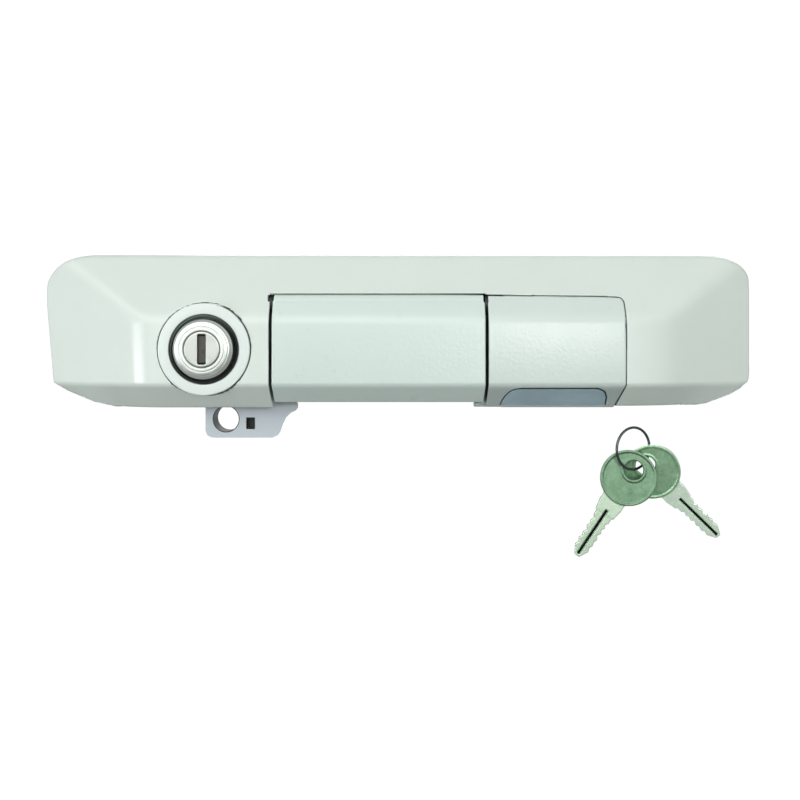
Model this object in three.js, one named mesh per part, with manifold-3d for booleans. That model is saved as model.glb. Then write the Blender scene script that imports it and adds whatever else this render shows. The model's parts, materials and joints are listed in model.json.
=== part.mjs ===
// Keyed tailgate-style lift handle and lock: painted bezel, lift paddle, camera cover,
// wafer lock, latch bellcranks and two keys on a ring.
// Millimetres. +X right, +Z up, the front faces -Y. The origin is the centre of the mounting
// face (the gasket's rear face, y = 0), so "ahead" is towards -Y and "behind" towards +Y.
import * as THREE from "three";
import { mergeVertices } from "three/addons/utils/BufferGeometryUtils.js";
import Module from "manifold-3d";

const wasm = await Module();
wasm.setup();

// ---------------------------------------------------------------- driving dimensions
const HALF_WIDTH = 160.7; // bezel half width
const TOP_Z = 34.4;
const BOTTOM_LEFT_Z = -34.4;
const BOTTOM_RIGHT_Z = -33.6;
const RIM_Y = -1.5; // bezel's rear rim; the gasket fills from here to y = 0
const AHEAD = -40; // a y clear ahead of the handle's front
const WALL = 2.6;
const CHIN_Z = -24.2; // where the lower facet starts

// lift paddle's axis, along X, with the radii round it
const HINGE = { y: -15.316, z: 11.3, barrel: 5.0, pin: 1.6, bush: 4.2 };
const PIN_HOLE = HINGE.pin + 0.15;
const BUSH_SEAT = HINGE.bush + 0.15;
const RIGHT_EAR = { x0: 42.6, x1: 46.4 };

const PADDLE = { x0: -55.1, x1: 38.2, bottom: -32.1 };
const COVER = { x0: 39.5, x1: 99.1, bottom: -34.3 };
const OPENING = { x0: -56.3, x1: 99.6, top: 15.2 };

// lock axis, along Y, with the radii round it
const LOCK = { x: -84.4, z: -8.4, ring: 20.05, recess: 15.2, bore: 11.2, plug: 8.05 };
const LOCK_SEAT_Y = -13.9; // rear of the housing's ring
const SHUTTER = { x: LOCK.x - 2.3, y: -29 }; // shutter's axis, along Z

// pawl pin, up and left of the lock axis
const PAWL_THROW = 9.0;
const PAWL_PIN = {
  x: LOCK.x - PAWL_THROW * Math.SQRT1_2,
  z: LOCK.z + PAWL_THROW * Math.SQRT1_2,
};

// bellcranks: height of the axes, thickness in y, hub radius, height of the upper hole
const CRANK = { z: 7, y0: 5, y1: 7.5, hub: 5, up: 22 };
// side is the direction of the inner arm: +1 towards +X
const CRANKS = [
  { name: "left", x: -40, side: 1 },
  { name: "right", x: 23, side: -1 },
];

// fixing places, [x, z]
const CARRIER_FIXINGS = [[-50, 24.3], [31, 24.3], [-62.5, -23.5]];
const PAN_FIXINGS = [[-60, -12], [106.5, -12]];
const COVER_FIXINGS = [[52, -12], [88, -12]];
const HOUSING_FIXINGS = [[-72.5, 13.6], [-104.5, -22.8]];
const LEVER_FIXINGS = [[-14, 1], [-3, 1]];
const STUDS = [[-130, 0], [130, 0]];

// pan-head screws: head's seat and thread's tip in y, thread radius, head radius and height
const PAN_SCREW = { seat: -2.45, tip: -11.5, thread: 1.2, head: 2.7, height: 1.8 };
const CARRIER_SCREW = { seat: 3.65, tip: -7.5, thread: 1.2, head: 2.8, height: 1.8 };
const HOUSING_SCREW = { seat: -11.85, tip: -16.5, thread: 1.0, head: 2.6, height: 1.6 };
const LEVER_SCREW = { seat: -18.7, tip: -22.4, thread: 1.0, head: 2.5, height: 1.5 };
const PILOT_R = 1.35; // pilot hole of the pan and carrier screws
const CLEARANCE_R = 1.7; // their clearance hole

// ---------------------------------------------------------------- materials
const finish = (settings) => new THREE.MeshStandardMaterial(settings);
const PAINT = finish({ color: 0xd9e4dc, roughness: 0.32, metalness: 0 });
const PAINT_DIM = finish({ color: 0x93a3a6, roughness: 0.42, metalness: 0 });
const NICKEL = finish({ color: 0xcfd0ca, roughness: 0.28, metalness: 1 });
const ZINC = finish({ color: 0xb9bcbc, roughness: 0.42, metalness: 1 });
const STEEL = finish({ color: 0x8f9294, roughness: 0.4, metalness: 1 });
const BLACK_PLASTIC = finish({ color: 0x17191a, roughness: 0.6, metalness: 0 });
const FOAM = finish({ color: 0x1d1f20, roughness: 0.95, metalness: 0 });
const BRASS = finish({ color: 0xb8943f, roughness: 0.35, metalness: 1 });
const SPRING = finish({ color: 0x9fa2a4, roughness: 0.3, metalness: 1 });
const CLIP = finish({ color: 0x2f6b3a, roughness: 0.5, metalness: 0 });
const KEY_METAL = finish({ color: 0x8fae93, roughness: 0.35, metalness: 1 });
const DARK = finish({ color: 0x5b5850, roughness: 0.5, metalness: 1 });

// ---------------------------------------------------------------- solids
const add = (...solids) => solids.reduce((sum, s) => sum.add(s));
const cut = (body, ...tools) => tools.reduce((rest, tool) => rest.subtract(tool), body);
const largest = (body) => body.decompose().sort((p, q) => q.volume() - p.volume())[0];

function solid(geometry) {
  const flat = geometry.index ? geometry.toNonIndexed() : geometry.clone();
  const bare = new THREE.BufferGeometry();
  bare.setAttribute("position", flat.getAttribute("position"));
  const merged = mergeVertices(bare, 1e-4);
  return new wasm.Manifold(
    new wasm.Mesh({
      numProp: 3,
      vertProperties: merged.attributes.position.array,
      triVerts: new Uint32Array(merged.index.array),
    }),
  );
}
// the geometry with every triangle's winding reversed
function flip(geometry) {
  const a = geometry.toNonIndexed().getAttribute("position").array.slice();
  for (let i = 0; i < a.length; i += 9)
    for (let k = 0; k < 3; k++) [a[i + 3 + k], a[i + 6 + k]] = [a[i + 6 + k], a[i + 3 + k]];
  return new THREE.BufferGeometry().setAttribute("position", new THREE.BufferAttribute(a, 3));
}
// solid of an indexed geometry that may be wound inside out
function outwardSolid(geometry) {
  const s = solid(geometry);
  return s.volume() < 0 ? solid(flip(geometry)) : s;
}
function box(x0, x1, y0, y1, z0, z1) {
  const g = new THREE.BoxGeometry(x1 - x0, y1 - y0, z1 - z0);
  g.translate((x0 + x1) / 2, (y0 + y1) / 2, (z0 + z1) / 2);
  return solid(g);
}
// cylinder along Y; endRadius is the radius at y1
function cylY(x, z, radius, y0, y1, segments, endRadius = radius) {
  const g = new THREE.CylinderGeometry(endRadius, radius, y1 - y0, segments);
  g.translate(x, (y0 + y1) / 2, z);
  return solid(g);
}
// one cylinder along Y at each [x, z] place
const rods = (places, ...size) => places.map(([x, z]) => cylY(x, z, ...size));
// cylinder along X, on the hinge axis
function hingeCyl(radius, x0, x1, segments) {
  const g = new THREE.CylinderGeometry(radius, radius, x1 - x0, segments);
  g.rotateZ(-Math.PI / 2);
  g.translate((x0 + x1) / 2, HINGE.y, HINGE.z);
  return solid(g);
}
// cylinder along Z, on the shutter's axis
function shutterCyl(radius, halfLength, segments) {
  const g = new THREE.CylinderGeometry(radius, radius, 2 * halfLength, segments);
  g.rotateX(Math.PI / 2);
  g.translate(SHUTTER.x, SHUTTER.y, LOCK.z);
  return solid(g);
}
const extrude = (points, depth) =>
  new THREE.ExtrudeGeometry(new THREE.Shape(points.map(([a, b]) => new THREE.Vector2(a, b))), {
    depth,
    bevelEnabled: false,
  });
// polygon of [x, z] points extruded along Y
function plateXZ(points, y0, y1) {
  const g = extrude(points, y1 - y0);
  g.rotateX(Math.PI / 2); // shape's y becomes z, depth runs towards -Y
  g.translate(0, y1, 0);
  return solid(g);
}
// polygon of [y, z] points extruded along X
function plateYZ(points, x0, x1) {
  const g = extrude(points, x1 - x0);
  g.rotateY(Math.PI / 2);
  g.rotateX(Math.PI / 2);
  g.translate(x0, 0, 0);
  return solid(g);
}
// on the lock axis: a cylinder, a box given from the axis, and a turned [radius, y] profile
const lockCyl = (...size) => cylY(LOCK.x, LOCK.z, ...size);
const lockBox = (x0, x1, y0, y1, z0, z1) =>
  box(LOCK.x + x0, LOCK.x + x1, y0, y1, LOCK.z + z0, LOCK.z + z1);
function lockTurned(profile, segments) {
  const points = [...profile, profile[0]].map(([radius, y]) => new THREE.Vector2(radius, y));
  const g = new THREE.LatheGeometry(points, segments);
  g.translate(LOCK.x, 0, LOCK.z);
  return outwardSolid(g);
}
// pan-head screw along Y with a cross slot: head behind its seat, thread ahead of it
function panScrew(x, z, { seat, tip, thread, head, height }) {
  const slotY = seat + height * 0.45;
  const slot = { half: 0.3, reach: head * 0.55 };
  return cut(
    add(cylY(x, z, thread, tip, seat + 0.2, 10), cylY(x, z, head, seat, seat + height, 14, head * 0.8)),
    box(x - slot.reach, x + slot.reach, slotY, seat + height + 1, z - slot.half, z + slot.half),
    box(x - slot.half, x + slot.half, slotY, seat + height + 1, z - slot.reach, z + slot.reach),
  );
}

// ---------------------------------------------------------------- bezel surface
const TOP_FACET = { edge: 6, slope: 0.663, blend: 3.2 }; // edge: depth at the outline
const END_FACET = { edge: 2.5, slope: 0.472, blend: 3.4 };
const CHIN = { slope: 1.57, blend: 1.8 };
const FRONT = { depth: 25.5, z: -8, lean: 0.02 }; // depth at z, less by lean for each mm above
const LEAST_DEPTH = 2.7;

// the smaller of a and b, blended where they differ by less than width
const smoothMin = (a, b, width) => {
  const h = Math.max(width - Math.abs(a - b), 0) / width;
  return Math.min(a, b) - (h * h * width) / 4;
};
// 0 below zero, t above it, blended within width of zero
const ramp = (t, width) => {
  if (t < -width) return 0;
  return t > width ? t : ((t + width) * (t + width)) / (4 * width);
};
// depth ahead of y = 0 of the painted outer surface
function surface(x, z, chinZ = CHIN_Z) {
  const front = FRONT.depth - FRONT.lean * (z - FRONT.z);
  const top = TOP_FACET.edge + TOP_FACET.slope * (TOP_Z - z);
  const end = END_FACET.edge + END_FACET.slope * (HALF_WIDTH - Math.abs(x));
  const blended = smoothMin(smoothMin(front, top, TOP_FACET.blend), end, END_FACET.blend);
  return Math.max(blended - CHIN.slope * ramp(chinZ - z, CHIN.blend), LEAST_DEPTH);
}

// grid the surface is sampled on, closest where it bends
const ROWS = [36, 24, 12.5, 9.5, 7.5, 5.5, 2.5, -8, -20.5, -22.6, -23.8, -25, -26.6, -36];
const HALF_COLS = [0, 104, 108.5, 111, 113.5, 117, 132, 147, 163];
const COLS = [...HALF_COLS.slice(1).reverse().map((x) => -x), ...HALF_COLS];

// solid between the surface y = -depth(x, z) and the plane y = back
function field(depth, back) {
  const nx = COLS.length;
  const nz = ROWS.length;
  const vertices = [];
  const index = [];
  for (const layer of [0, 1])
    for (const z of ROWS)
      for (const x of COLS) vertices.push(x, layer ? back : -depth(x, z), z);
  const id = (layer, i, j) => layer * nx * nz + j * nx + i;
  for (let j = 0; j + 1 < nz; j++)
    for (let i = 0; i + 1 < nx; i++) {
      index.push(id(0, i, j), id(0, i, j + 1), id(0, i + 1, j + 1));
      index.push(id(0, i, j), id(0, i + 1, j + 1), id(0, i + 1, j));
      index.push(id(1, i, j), id(1, i + 1, j + 1), id(1, i, j + 1));
      index.push(id(1, i, j), id(1, i + 1, j), id(1, i + 1, j + 1));
    }
  const wall = (i0, j0, i1, j1) => {
    index.push(id(0, i0, j0), id(0, i1, j1), id(1, i1, j1));
    index.push(id(0, i0, j0), id(1, i1, j1), id(1, i0, j0));
  };
  for (let i = 0; i + 1 < nx; i++) {
    wall(i, 0, i + 1, 0);
    wall(i + 1, nz - 1, i, nz - 1);
  }
  for (let j = 0; j + 1 < nz; j++) {
    wall(0, j + 1, 0, j);
    wall(nx - 1, j, nx - 1, j + 1);
  }
  const g = new THREE.BufferGeometry();
  g.setAttribute("position", new THREE.BufferAttribute(new Float32Array(vertices), 3));
  g.setIndex(index);
  return outwardSolid(g);
}
const outer = field(surface, 4);
// the outer surface moved back by a distance
const pulled = (distance) => field((x, z) => Math.max(surface(x, z) - distance, 0.3), 6);
// what a part's hollow removes, one wall behind the outer surface
const hollow = (least) =>
  field((x, z) => Math.max(surface(x, z, CHIN_Z + 1.6) - WALL, least), 6);

// radii of the outline's elliptical top corners
const CORNER_RIGHT = { x: 22.5, z: 10.5 };
const CORNER_LEFT = { x: 22.3, z: 14.2 };
// quarter ellipse in 6 steps, anticlockwise from an angle in degrees; side is +1 at the right
function corner(side, radius, inset, from) {
  const centreX = side * (HALF_WIDTH - radius.x);
  const centreZ = TOP_Z - radius.z;
  return Array.from({ length: 7 }, (_, i) => {
    const angle = ((from + (90 * i) / 6) * Math.PI) / 180;
    return [
      centreX + (radius.x - inset) * Math.cos(angle),
      centreZ + (radius.z - inset) * Math.sin(angle),
    ];
  });
}
// bezel outline, [x, z], pulled in by e
function outline(e) {
  return [
    ...corner(1, CORNER_RIGHT, e, 0),
    ...corner(-1, CORNER_LEFT, e, 90),
    [-HALF_WIDTH + e, 12], [-157.3 + e, -23.4], [-156.2 + e, -24.6 + e * 0.2],
    [-152.4 + e * 0.9, -26.8 + e * 0.6], [-139 + e * 0.5, -32.4 + e],
    [-129, BOTTOM_LEFT_Z + e], [-57, BOTTOM_LEFT_Z + e],
    [101, BOTTOM_RIGHT_Z + e], [134, BOTTOM_RIGHT_Z + e],
    [142 - e * 0.5, -32.0 + e], [154.8 - e * 0.9, -26.4 + e * 0.6],
    [159.4 - e, -23.2 + e * 0.2], [HALF_WIDTH - e, -20.6],
  ];
}

// ---------------------------------------------------------------- groups, one for each body
const root = new THREE.Group();
root.name = "assembly";
root.userData.at = [0, 0, 31.6]; // middle of the gasket's top run, on its rear face

// group whose origin is at (x, y, z) in the part's frame
function bodyGroup(x, y, z, parent = root) {
  const group = new THREE.Group();
  const [px, py, pz] = parent.userData.at;
  group.userData.at = [x, y, z];
  group.position.set(x - px, y - py, z - pz);
  parent.add(group);
  return group;
}
const fixedGroup = bodyGroup(0, 0, 0);
const paddleGroup = bodyGroup(0, HINGE.y, HINGE.z);
const crankGroups = CRANKS.map(({ x }) => bodyGroup(x, CRANK.y0, CRANK.z));
const plugGroup = bodyGroup(LOCK.x, 0, LOCK.z);
const shutterGroup = bodyGroup(SHUTTER.x, SHUTTER.y, LOCK.z, plugGroup);
const waferGroup = bodyGroup(LOCK.x, -16, LOCK.z, plugGroup);
const slideGroup = bodyGroup(LOCK.x, 6, 0);

// adds a solid, given in the part's frame, as a named mesh whose origin is its box's centre
function place(group, name, body, material) {
  const { numProp, numVert, vertProperties, triVerts } = body.getMesh();
  const bounds = body.boundingBox();
  const centre = [0, 1, 2].map((k) => (bounds.min[k] + bounds.max[k]) / 2);
  const positions = new Float32Array(numVert * 3);
  for (let i = 0; i < numVert; i++)
    for (let k = 0; k < 3; k++) positions[3 * i + k] = vertProperties[i * numProp + k] - centre[k];
  const indexed = new THREE.BufferGeometry();
  indexed.setAttribute("position", new THREE.BufferAttribute(positions, 3));
  indexed.setIndex(new THREE.BufferAttribute(new Uint32Array(triVerts), 1));
  const geometry = indexed.toNonIndexed();
  geometry.computeVertexNormals();
  const mesh = new THREE.Mesh(geometry, material);
  mesh.name = name;
  mesh.position.set(...centre.map((c, k) => c - group.userData.at[k]));
  group.add(mesh);
}
function placeScrews(group, names, places, size) {
  places.forEach(([x, z], i) => place(group, names[i], panScrew(x, z, size), ZINC));
}

// ---------------------------------------------------------------- bezel
// flange right of the opening and along its top, [x, z]
const RIGHT_FLANGE = [
  [97.5, -40], [97.5, -36], [99.6, -24.2], [99.6, 14.2], [98, 14.8], [46.2, 15.5],
  [46.2, 18.2], [98.4, 17.8], [100.8, 16.8], [102.0, 14.5], [102.0, -24.6], [99.9, -36],
  [99.9, -40],
];
// hole for the paddle and the cover, open at the bottom, [x, z]
const OPENING_OUTLINE = [
  [OPENING.x0, -45], [OPENING.x1 - 2.2, -45], [OPENING.x1 - 2.2, -36], [OPENING.x1, CHIN_Z],
  [OPENING.x1, 12.7], [OPENING.x1 - 0.9, 14.1], [OPENING.x1 - 2.6, 14.75],
  [39, OPENING.top + 0.5], [OPENING.x0, OPENING.top + 0.1],
];
function bezelBosses() {
  const core = pulled(1.0);
  const { x0, x1 } = RIGHT_EAR;
  const bosses = [
    ...rods(CARRIER_FIXINGS, 3.4, AHEAD, 1.2, 16),
    ...rods(PAN_FIXINGS, 3.2, AHEAD, -4.8, 16),
    ...rods(HOUSING_FIXINGS, 3.4, AHEAD, -14.3, 16),
    ...rods(STUDS, 6, AHEAD, RIM_Y, 20),
    box(-60.6, -56.7, AHEAD, -4, 5.8, 19.5), // left hinge ear
    box(x0, x1, AHEAD, -4, 16.2, 24), // joins the right hinge ear to the top bar
  ].map((boss) => boss.intersect(core));
  const rightEar = box(x0, x1, AHEAD, -4, 5.8, 19.5).intersect(pulled(3.2));
  const flanges = add(
    box(-58.3, OPENING.x0 + 0.2, AHEAD, -10.2, -40, 17),
    plateXZ(RIGHT_FLANGE, AHEAD, -10.2),
  );
  const clipped = flanges.intersect(core).intersect(plateXZ(outline(1.0), AHEAD, RIM_Y));
  return [...bosses, rightEar, clipped];
}
function bezel() {
  const shell = outer
    .intersect(plateXZ(outline(0), AHEAD, RIM_Y))
    .subtract(hollow(0.4).intersect(plateXZ(outline(2.4), AHEAD, 5)));
  // the right hinge ear stands inside the opening
  const keptEar = box(RIGHT_EAR.x0, RIGHT_EAR.x1, AHEAD, -4, 5.8, 24).intersect(pulled(3.2));
  const body = cut(
    add(shell, ...bezelBosses()),
    plateXZ(OPENING_OUTLINE, AHEAD, 0).subtract(keptEar),
    hingeCyl(HINGE.barrel + 0.22, OPENING.x0 - 0.01, 38.85, 40),
    box(OPENING.x0 - 1, OPENING.x0 + 2, AHEAD, -7.8, 12.6, 15.5), // at the paddle's top corner
    hingeCyl(BUSH_SEAT, -57.95, OPENING.x0, 32),
    lockCyl(LOCK.ring + 0.3, AHEAD, LOCK_SEAT_Y, 48),
    hingeCyl(PIN_HOLE, -63, 50, 20),
    ...rods(CARRIER_FIXINGS, PILOT_R, -9, 3, 10),
    ...rods(PAN_FIXINGS, PILOT_R, -13, 0, 10),
    ...rods(HOUSING_FIXINGS, 1.15, -17.2, 0, 10),
    ...rods(STUDS, 3.2, -11.2, 3, 20),
  );
  return largest(body);
}
place(fixedGroup, "bezel", bezel(), PAINT);

// band inside the bezel's outline, broken below the opening
function rimGasket() {
  return cut(
    plateXZ(outline(0.9), RIM_Y + 0.02, 0),
    plateXZ(outline(4.6), -3, 1),
    box(OPENING.x0 - 1.5, OPENING.x1 + 1.5, -3, 2, -40, 0),
  );
}
place(fixedGroup, "rim_gasket", rimGasket(), FOAM);

// ---------------------------------------------------------------- lift paddle and its lever
// wall between the front and the barrel, up to where the front is tangent to the barrel
function paddleBrow() {
  const length = Math.hypot(1, TOP_FACET.slope);
  const tangentY = HINGE.y - HINGE.barrel / length;
  const tangentZ = HINGE.z + (HINGE.barrel * TOP_FACET.slope) / length;
  const baseZ = HINGE.z - 0.2;
  const points = [
    [HINGE.y, baseZ], [HINGE.y, HINGE.z], [tangentY, tangentZ], [-26, tangentZ], [-26, baseZ],
  ];
  return plateYZ(points, PADDLE.x0, PADDLE.x1);
}
// wedge round the barrel that must be empty for the paddle to clear the opening at full lift
function liftClearance() {
  const ray = (degrees) => {
    const angle = (degrees * Math.PI) / 180;
    return [HINGE.y - 9 * Math.cos(angle), HINGE.z + 9 * Math.sin(angle)];
  };
  const wedge = plateYZ([[HINGE.y, HINGE.z], ray(12), ray(46)], -70, 60);
  return wedge.subtract(hingeCyl(HINGE.barrel + 0.1, -71, 61, 40));
}
function liftPaddle() {
  const { x0, x1, bottom } = PADDLE;
  const region = plateXZ([[x0, bottom], [x1, bottom], [x1, HINGE.z], [x0, HINGE.z]], AHEAD, 3);
  const shell = cut(
    outer.intersect(add(region, paddleBrow())),
    liftClearance(),
    hollow(0.2).intersect(box(x0 + 2.2, x1 - 2.2, AHEAD, 8, -40, HINGE.z + 6)),
    box(-80, 60, -9.2, 8, -40, 20), // side flanges stop short of the pan
  );
  const hinged = cut(
    add(shell, hingeCyl(HINGE.barrel, x0, x1, 40).intersect(outer)),
    hingeCyl(PIN_HOLE, -70, 60, 20),
    hingeCyl(3.25, -53, -43, 20), // spring's bore
    box(-53, -43, HINGE.y, 0, 4, 14.5),
    box(-46, -43, HINGE.y - 6, 0, 4, HINGE.z), // the spring's leg passes here
    box(x0 - 1, x0 + 0.35, -22, -9, 12.9, 19), // top corner reliefs
    box(x1 - 0.55, x1 + 1, -22, -9, 12.2, 19),
    box(-38, -21, HINGE.y + 1.8, 0, 5, 20), // pockets behind the hinge barrel
    box(4, 33, HINGE.y + 1.8, 0, 5, 20),
  );
  const lugs = add(...rods(LEVER_FIXINGS, 3.0, -24, -20.9, 14)).intersect(pulled(0.9));
  return largest(cut(add(hinged, lugs), ...rods(LEVER_FIXINGS, 1.2, -22.8, -15, 10)));
}
place(paddleGroup, "lift_paddle", liftPaddle(), PAINT);

// pressed-steel lever with two fingers that press on the bellcranks
const FINGER_X = [-17.65, 0.65];
const FINGER_HALF = 0.85; // half thickness
// finger profile, [y, z]
const FINGER = [
  [-20.6, -3], [-9.5, -3], [-4, 9.6], [14, 10], [14, 14.2], [-6.2, 16.4], [-7.6, 5.4],
  [-20.6, 5.4],
];
function paddleLever() {
  const fingers = FINGER_X.map((x) => plateYZ(FINGER, x - FINGER_HALF, x + FINGER_HALF));
  const web = box(FINGER_X[0] - FINGER_HALF, FINGER_X[1] + FINGER_HALF, -20.6, -18.9, -3, 5.4);
  return cut(add(web, ...fingers), ...rods(LEVER_FIXINGS, 1.7, -25, -15, 12));
}
place(paddleGroup, "paddle_lever", paddleLever(), STEEL);
placeScrews(paddleGroup, ["lever_screw_left", "lever_screw_right"], LEVER_FIXINGS, LEVER_SCREW);

// ---------------------------------------------------------------- hinge pin, clip and spring
// headed at the left, grooved for its clip near the right end
function hingePin() {
  return cut(
    add(hingeCyl(HINGE.pin, -61.9, 48.6, 18), hingeCyl(2.7, -62.9, -60.8, 18)),
    hingeCyl(3, 47.0, 47.8, 18).subtract(hingeCyl(1.05, 46, 49, 18)),
  );
}
place(fixedGroup, "hinge_pin", hingePin(), STEEL);

function hingePinClip() {
  return cut(
    hingeCyl(3.1, 47.15, 47.65, 20),
    hingeCyl(1.25, 46, 49, 16),
    box(46, 49, HINGE.y - 1.0, HINGE.y + 1.0, HINGE.z - 4, HINGE.z),
  );
}
place(fixedGroup, "hinge_pin_clip", hingePinClip(), SPRING);

// torsion spring round the pin: one leg rests on the carrier, the other inside the paddle
const COIL = { turns: 5, radius: 2.5, x0: -51.6, length: 7.2 };
const SPRING_WIRE = { radius: 0.42, sides: 4, steps: 58 };
function paddleSpring() {
  const { y, z } = HINGE;
  const path = [[-51.8, 0.98, 3.4], [-51.8, 0.9, 5.4], [-51.8, y + 6, z - 2.9]];
  const count = COIL.turns * 8;
  for (let i = 0; i <= count; i++) {
    const angle = -Math.PI / 2 + (i / 8) * 2 * Math.PI;
    path.push([
      COIL.x0 + (i / count) * COIL.length,
      y + COIL.radius * Math.cos(angle),
      z + COIL.radius * Math.sin(angle),
    ]);
  }
  path.push([-44.2, y - 4.4, z - 3.8], [-44.2, y - 6.3, z - 8.8]);
  const { radius, sides, steps } = SPRING_WIRE;
  const section = Array.from({ length: sides }, (_, i) => {
    const angle = (i / sides) * 2 * Math.PI;
    return new THREE.Vector2(radius * Math.cos(angle), radius * Math.sin(angle));
  });
  const extrudePath = new THREE.CatmullRomCurve3(path.map((p) => new THREE.Vector3(...p)));
  const options = { steps, extrudePath, bevelEnabled: false };
  return solid(new THREE.ExtrudeGeometry(new THREE.Shape(section), options));
}
place(paddleGroup, "paddle_spring", paddleSpring(), SPRING);

// ---------------------------------------------------------------- camera cover and port plug
// camera port, open at the bottom, [x, z], pulled in by e
const portOutline = (e) => [
  [45.2 + e, -37], [93.5 - e, -37], [93.4 - e, -33.4], [92.9 - e, -29.6],
  [91.8 - e, -27.4 - e * 0.4], [90.0 - e * 0.6, -25.9 - e], [87.8, -25.3 - e],
  [53.4, -25.3 - e], [51.0 + e * 0.2, -25.8 - e], [48.9 + e * 0.6, -27.0 - e * 0.6],
  [47.2 + e * 0.8, -28.9 - e * 0.4], [46.1 + e, -31.2],
];
// the tables below are [x, z]
const COVER_OUTLINE = [
  [COVER.x0, COVER.bottom], [COVER.x1 - 2.1, COVER.bottom], [COVER.x1, CHIN_Z + 0.2],
  [COVER.x1, 12.4], [COVER.x1 - 0.8, 13.7], [COVER.x1 - 2.2, 14.3],
  [COVER.x0, OPENING.top - 0.05],
];
// lower lip that runs past the paddle's corner
const COVER_LIP = [
  [35.2, -34.5], [96.4, -34.5], [97.6, -33.6], [97.6, -32.4], [34.2, -32.4], [34.2, -33.6],
];
// rear flange that laps behind the bezel's opening
const COVER_FLANGE = [
  [97.0, -31.0], [99.6, -31.0], [101.6, -24.5], [101.6, 14.8], [100.6, 16.5], [98.6, 17.3],
  [46.65, 17.9], [46.65, 12.0], [96.3, 11.6], [97.0, 11.0],
];
// rebate that closes the gap along the right and top edges
const COVER_REBATE = [
  [96.0, -34.3], [97.2, -34.3], [99.4, -24.0], [99.4, 12.5], [98.5, 14.0], [97.0, 14.52],
  [46.65, 15.3], [46.65, 14.75], [96.0, 13.7],
];
function cameraCover() {
  const shell = cut(
    outer.intersect(plateXZ(COVER_OUTLINE, AHEAD, 0)),
    hollow(0.2).intersect(box(COVER.x0 + 2.2, COVER.x1 - 2.0, AHEAD, 8, -45, 40)),
    box(30, 110, -7.6, 8, -60, 40),
  );
  const body = cut(
    add(
      shell,
      add(...rods(COVER_FIXINGS, 3.2, AHEAD, -4.8, 16)).intersect(pulled(1.0)),
      plateXZ(COVER_LIP, -8.4, -5.2),
      box(40.5, 96.4, -8.4, -7.0, -34.2, -31),
    ),
    plateXZ(portOutline(0), AHEAD, -9.2),
    ...rods(COVER_FIXINGS, PILOT_R, -13, 0, 10),
    box(38, 40.1, -22, 0, 12.2, 18), // top left corner reliefs
    box(38, 41.9, -9.8, 0, 12.0, 18),
    hingeCyl(HINGE.pin + 0.4, 38, 48, 16),
    box(42.2, 48.4, AHEAD, 0, 5.2, 20).intersect(pulled(2.65)), // round the right hinge ear
    hingeCyl(3.4, 46.9, 48.0, 24), // room for the pin's clip
    hingeCyl(BUSH_SEAT, 38, 42.3, 32), // room for the right hinge bush
  );
  const flanged = add(
    body,
    plateXZ(COVER_FLANGE, -9.4, -7.6),
    box(36.6, 40.0, -8.9, -7.6, -33.4, 11.6), // laps behind the paddle's right wall
    plateXZ(COVER_REBATE, AHEAD, -7.6).intersect(pulled(0.5)),
  );
  return largest(flanged);
}
place(fixedGroup, "camera_cover", cameraCover(), PAINT);

function cameraPortPlug() {
  const blank = pulled(0.7)
    .subtract(pulled(2.9))
    .intersect(plateXZ(portOutline(0.45), AHEAD, -9.6))
    .intersect(box(40, 100, AHEAD, 0, -33.9, -20));
  return add(blank, box(60, 80, -19.0, -12.2, -31.4, -27.6).intersect(pulled(1.4)));
}
place(fixedGroup, "camera_port_plug", cameraPortPlug(), PAINT_DIM);

// ---------------------------------------------------------------- finger pan
const PAN = { y0: -4.6, y1: -2.6 };
const SCOOP = { x0: -44, x1: 36, wall: 1.8 };
// curved sheet of the scoop, [y, z]
const SCOOP_SHEET = [
  [-4.6, -4], [-4.6, -13.5], [4.2, -19.8], [4.2, -27.2], [-1.8, -30.4], [-1.2, -31.7],
  [6, -28], [6, -18.8], [-2.6, -12.5], [-2.6, -4],
];
// end wall of the scoop, [y, z]
const SCOOP_END = [
  [-4.6, -13], [-2.6, -12.5], [6, -18.8], [6, -28], [-1.2, -31.7], [-4.6, -30],
];
function fingerPan() {
  const endWall = (x0, x1) =>
    box(x0, x1, PAN.y0, 6, -30, -12.6).intersect(plateYZ(SCOOP_END, x0 - 1, x1 + 1));
  const flat = (x0, x1, z0, z1) => box(x0, x1, PAN.y0, PAN.y1, z0, z1);
  const body = add(
    plateYZ(SCOOP_SHEET, SCOOP.x0, SCOOP.x1),
    flat(-53, 98.2, -13.3, -4),
    flat(35.5, 98.2, -31.5, -4),
    flat(-64, -50, -16, -8),
    flat(98, 111, -16, -8),
    endWall(SCOOP.x0, SCOOP.x0 + SCOOP.wall),
    endWall(SCOOP.x1 - SCOOP.wall, SCOOP.x1),
  );
  return cut(body, ...rods([...PAN_FIXINGS, ...COVER_FIXINGS], CLEARANCE_R, -8, 0, 12));
}
place(fixedGroup, "finger_pan", fingerPan(), BLACK_PLASTIC);
placeScrews(fixedGroup, ["pan_screw_left", "pan_screw_right"], PAN_FIXINGS, PAN_SCREW);
placeScrews(fixedGroup, ["cover_screw_left", "cover_screw_right"], COVER_FIXINGS, PAN_SCREW);

// ---------------------------------------------------------------- hinge bushes and seals
function hingeBush(x0, x1) {
  const hole = hingeCyl(HINGE.pin + 0.12, x0 - 1, x1 + 1, 20);
  return hingeCyl(HINGE.bush, x0, x1, 28).subtract(hole);
}
place(fixedGroup, "hinge_bush_left", hingeBush(-57.85, -55.3), BLACK_PLASTIC);
place(fixedGroup, "hinge_bush_right", hingeBush(38.4, 42.2), BLACK_PLASTIC);

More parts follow.
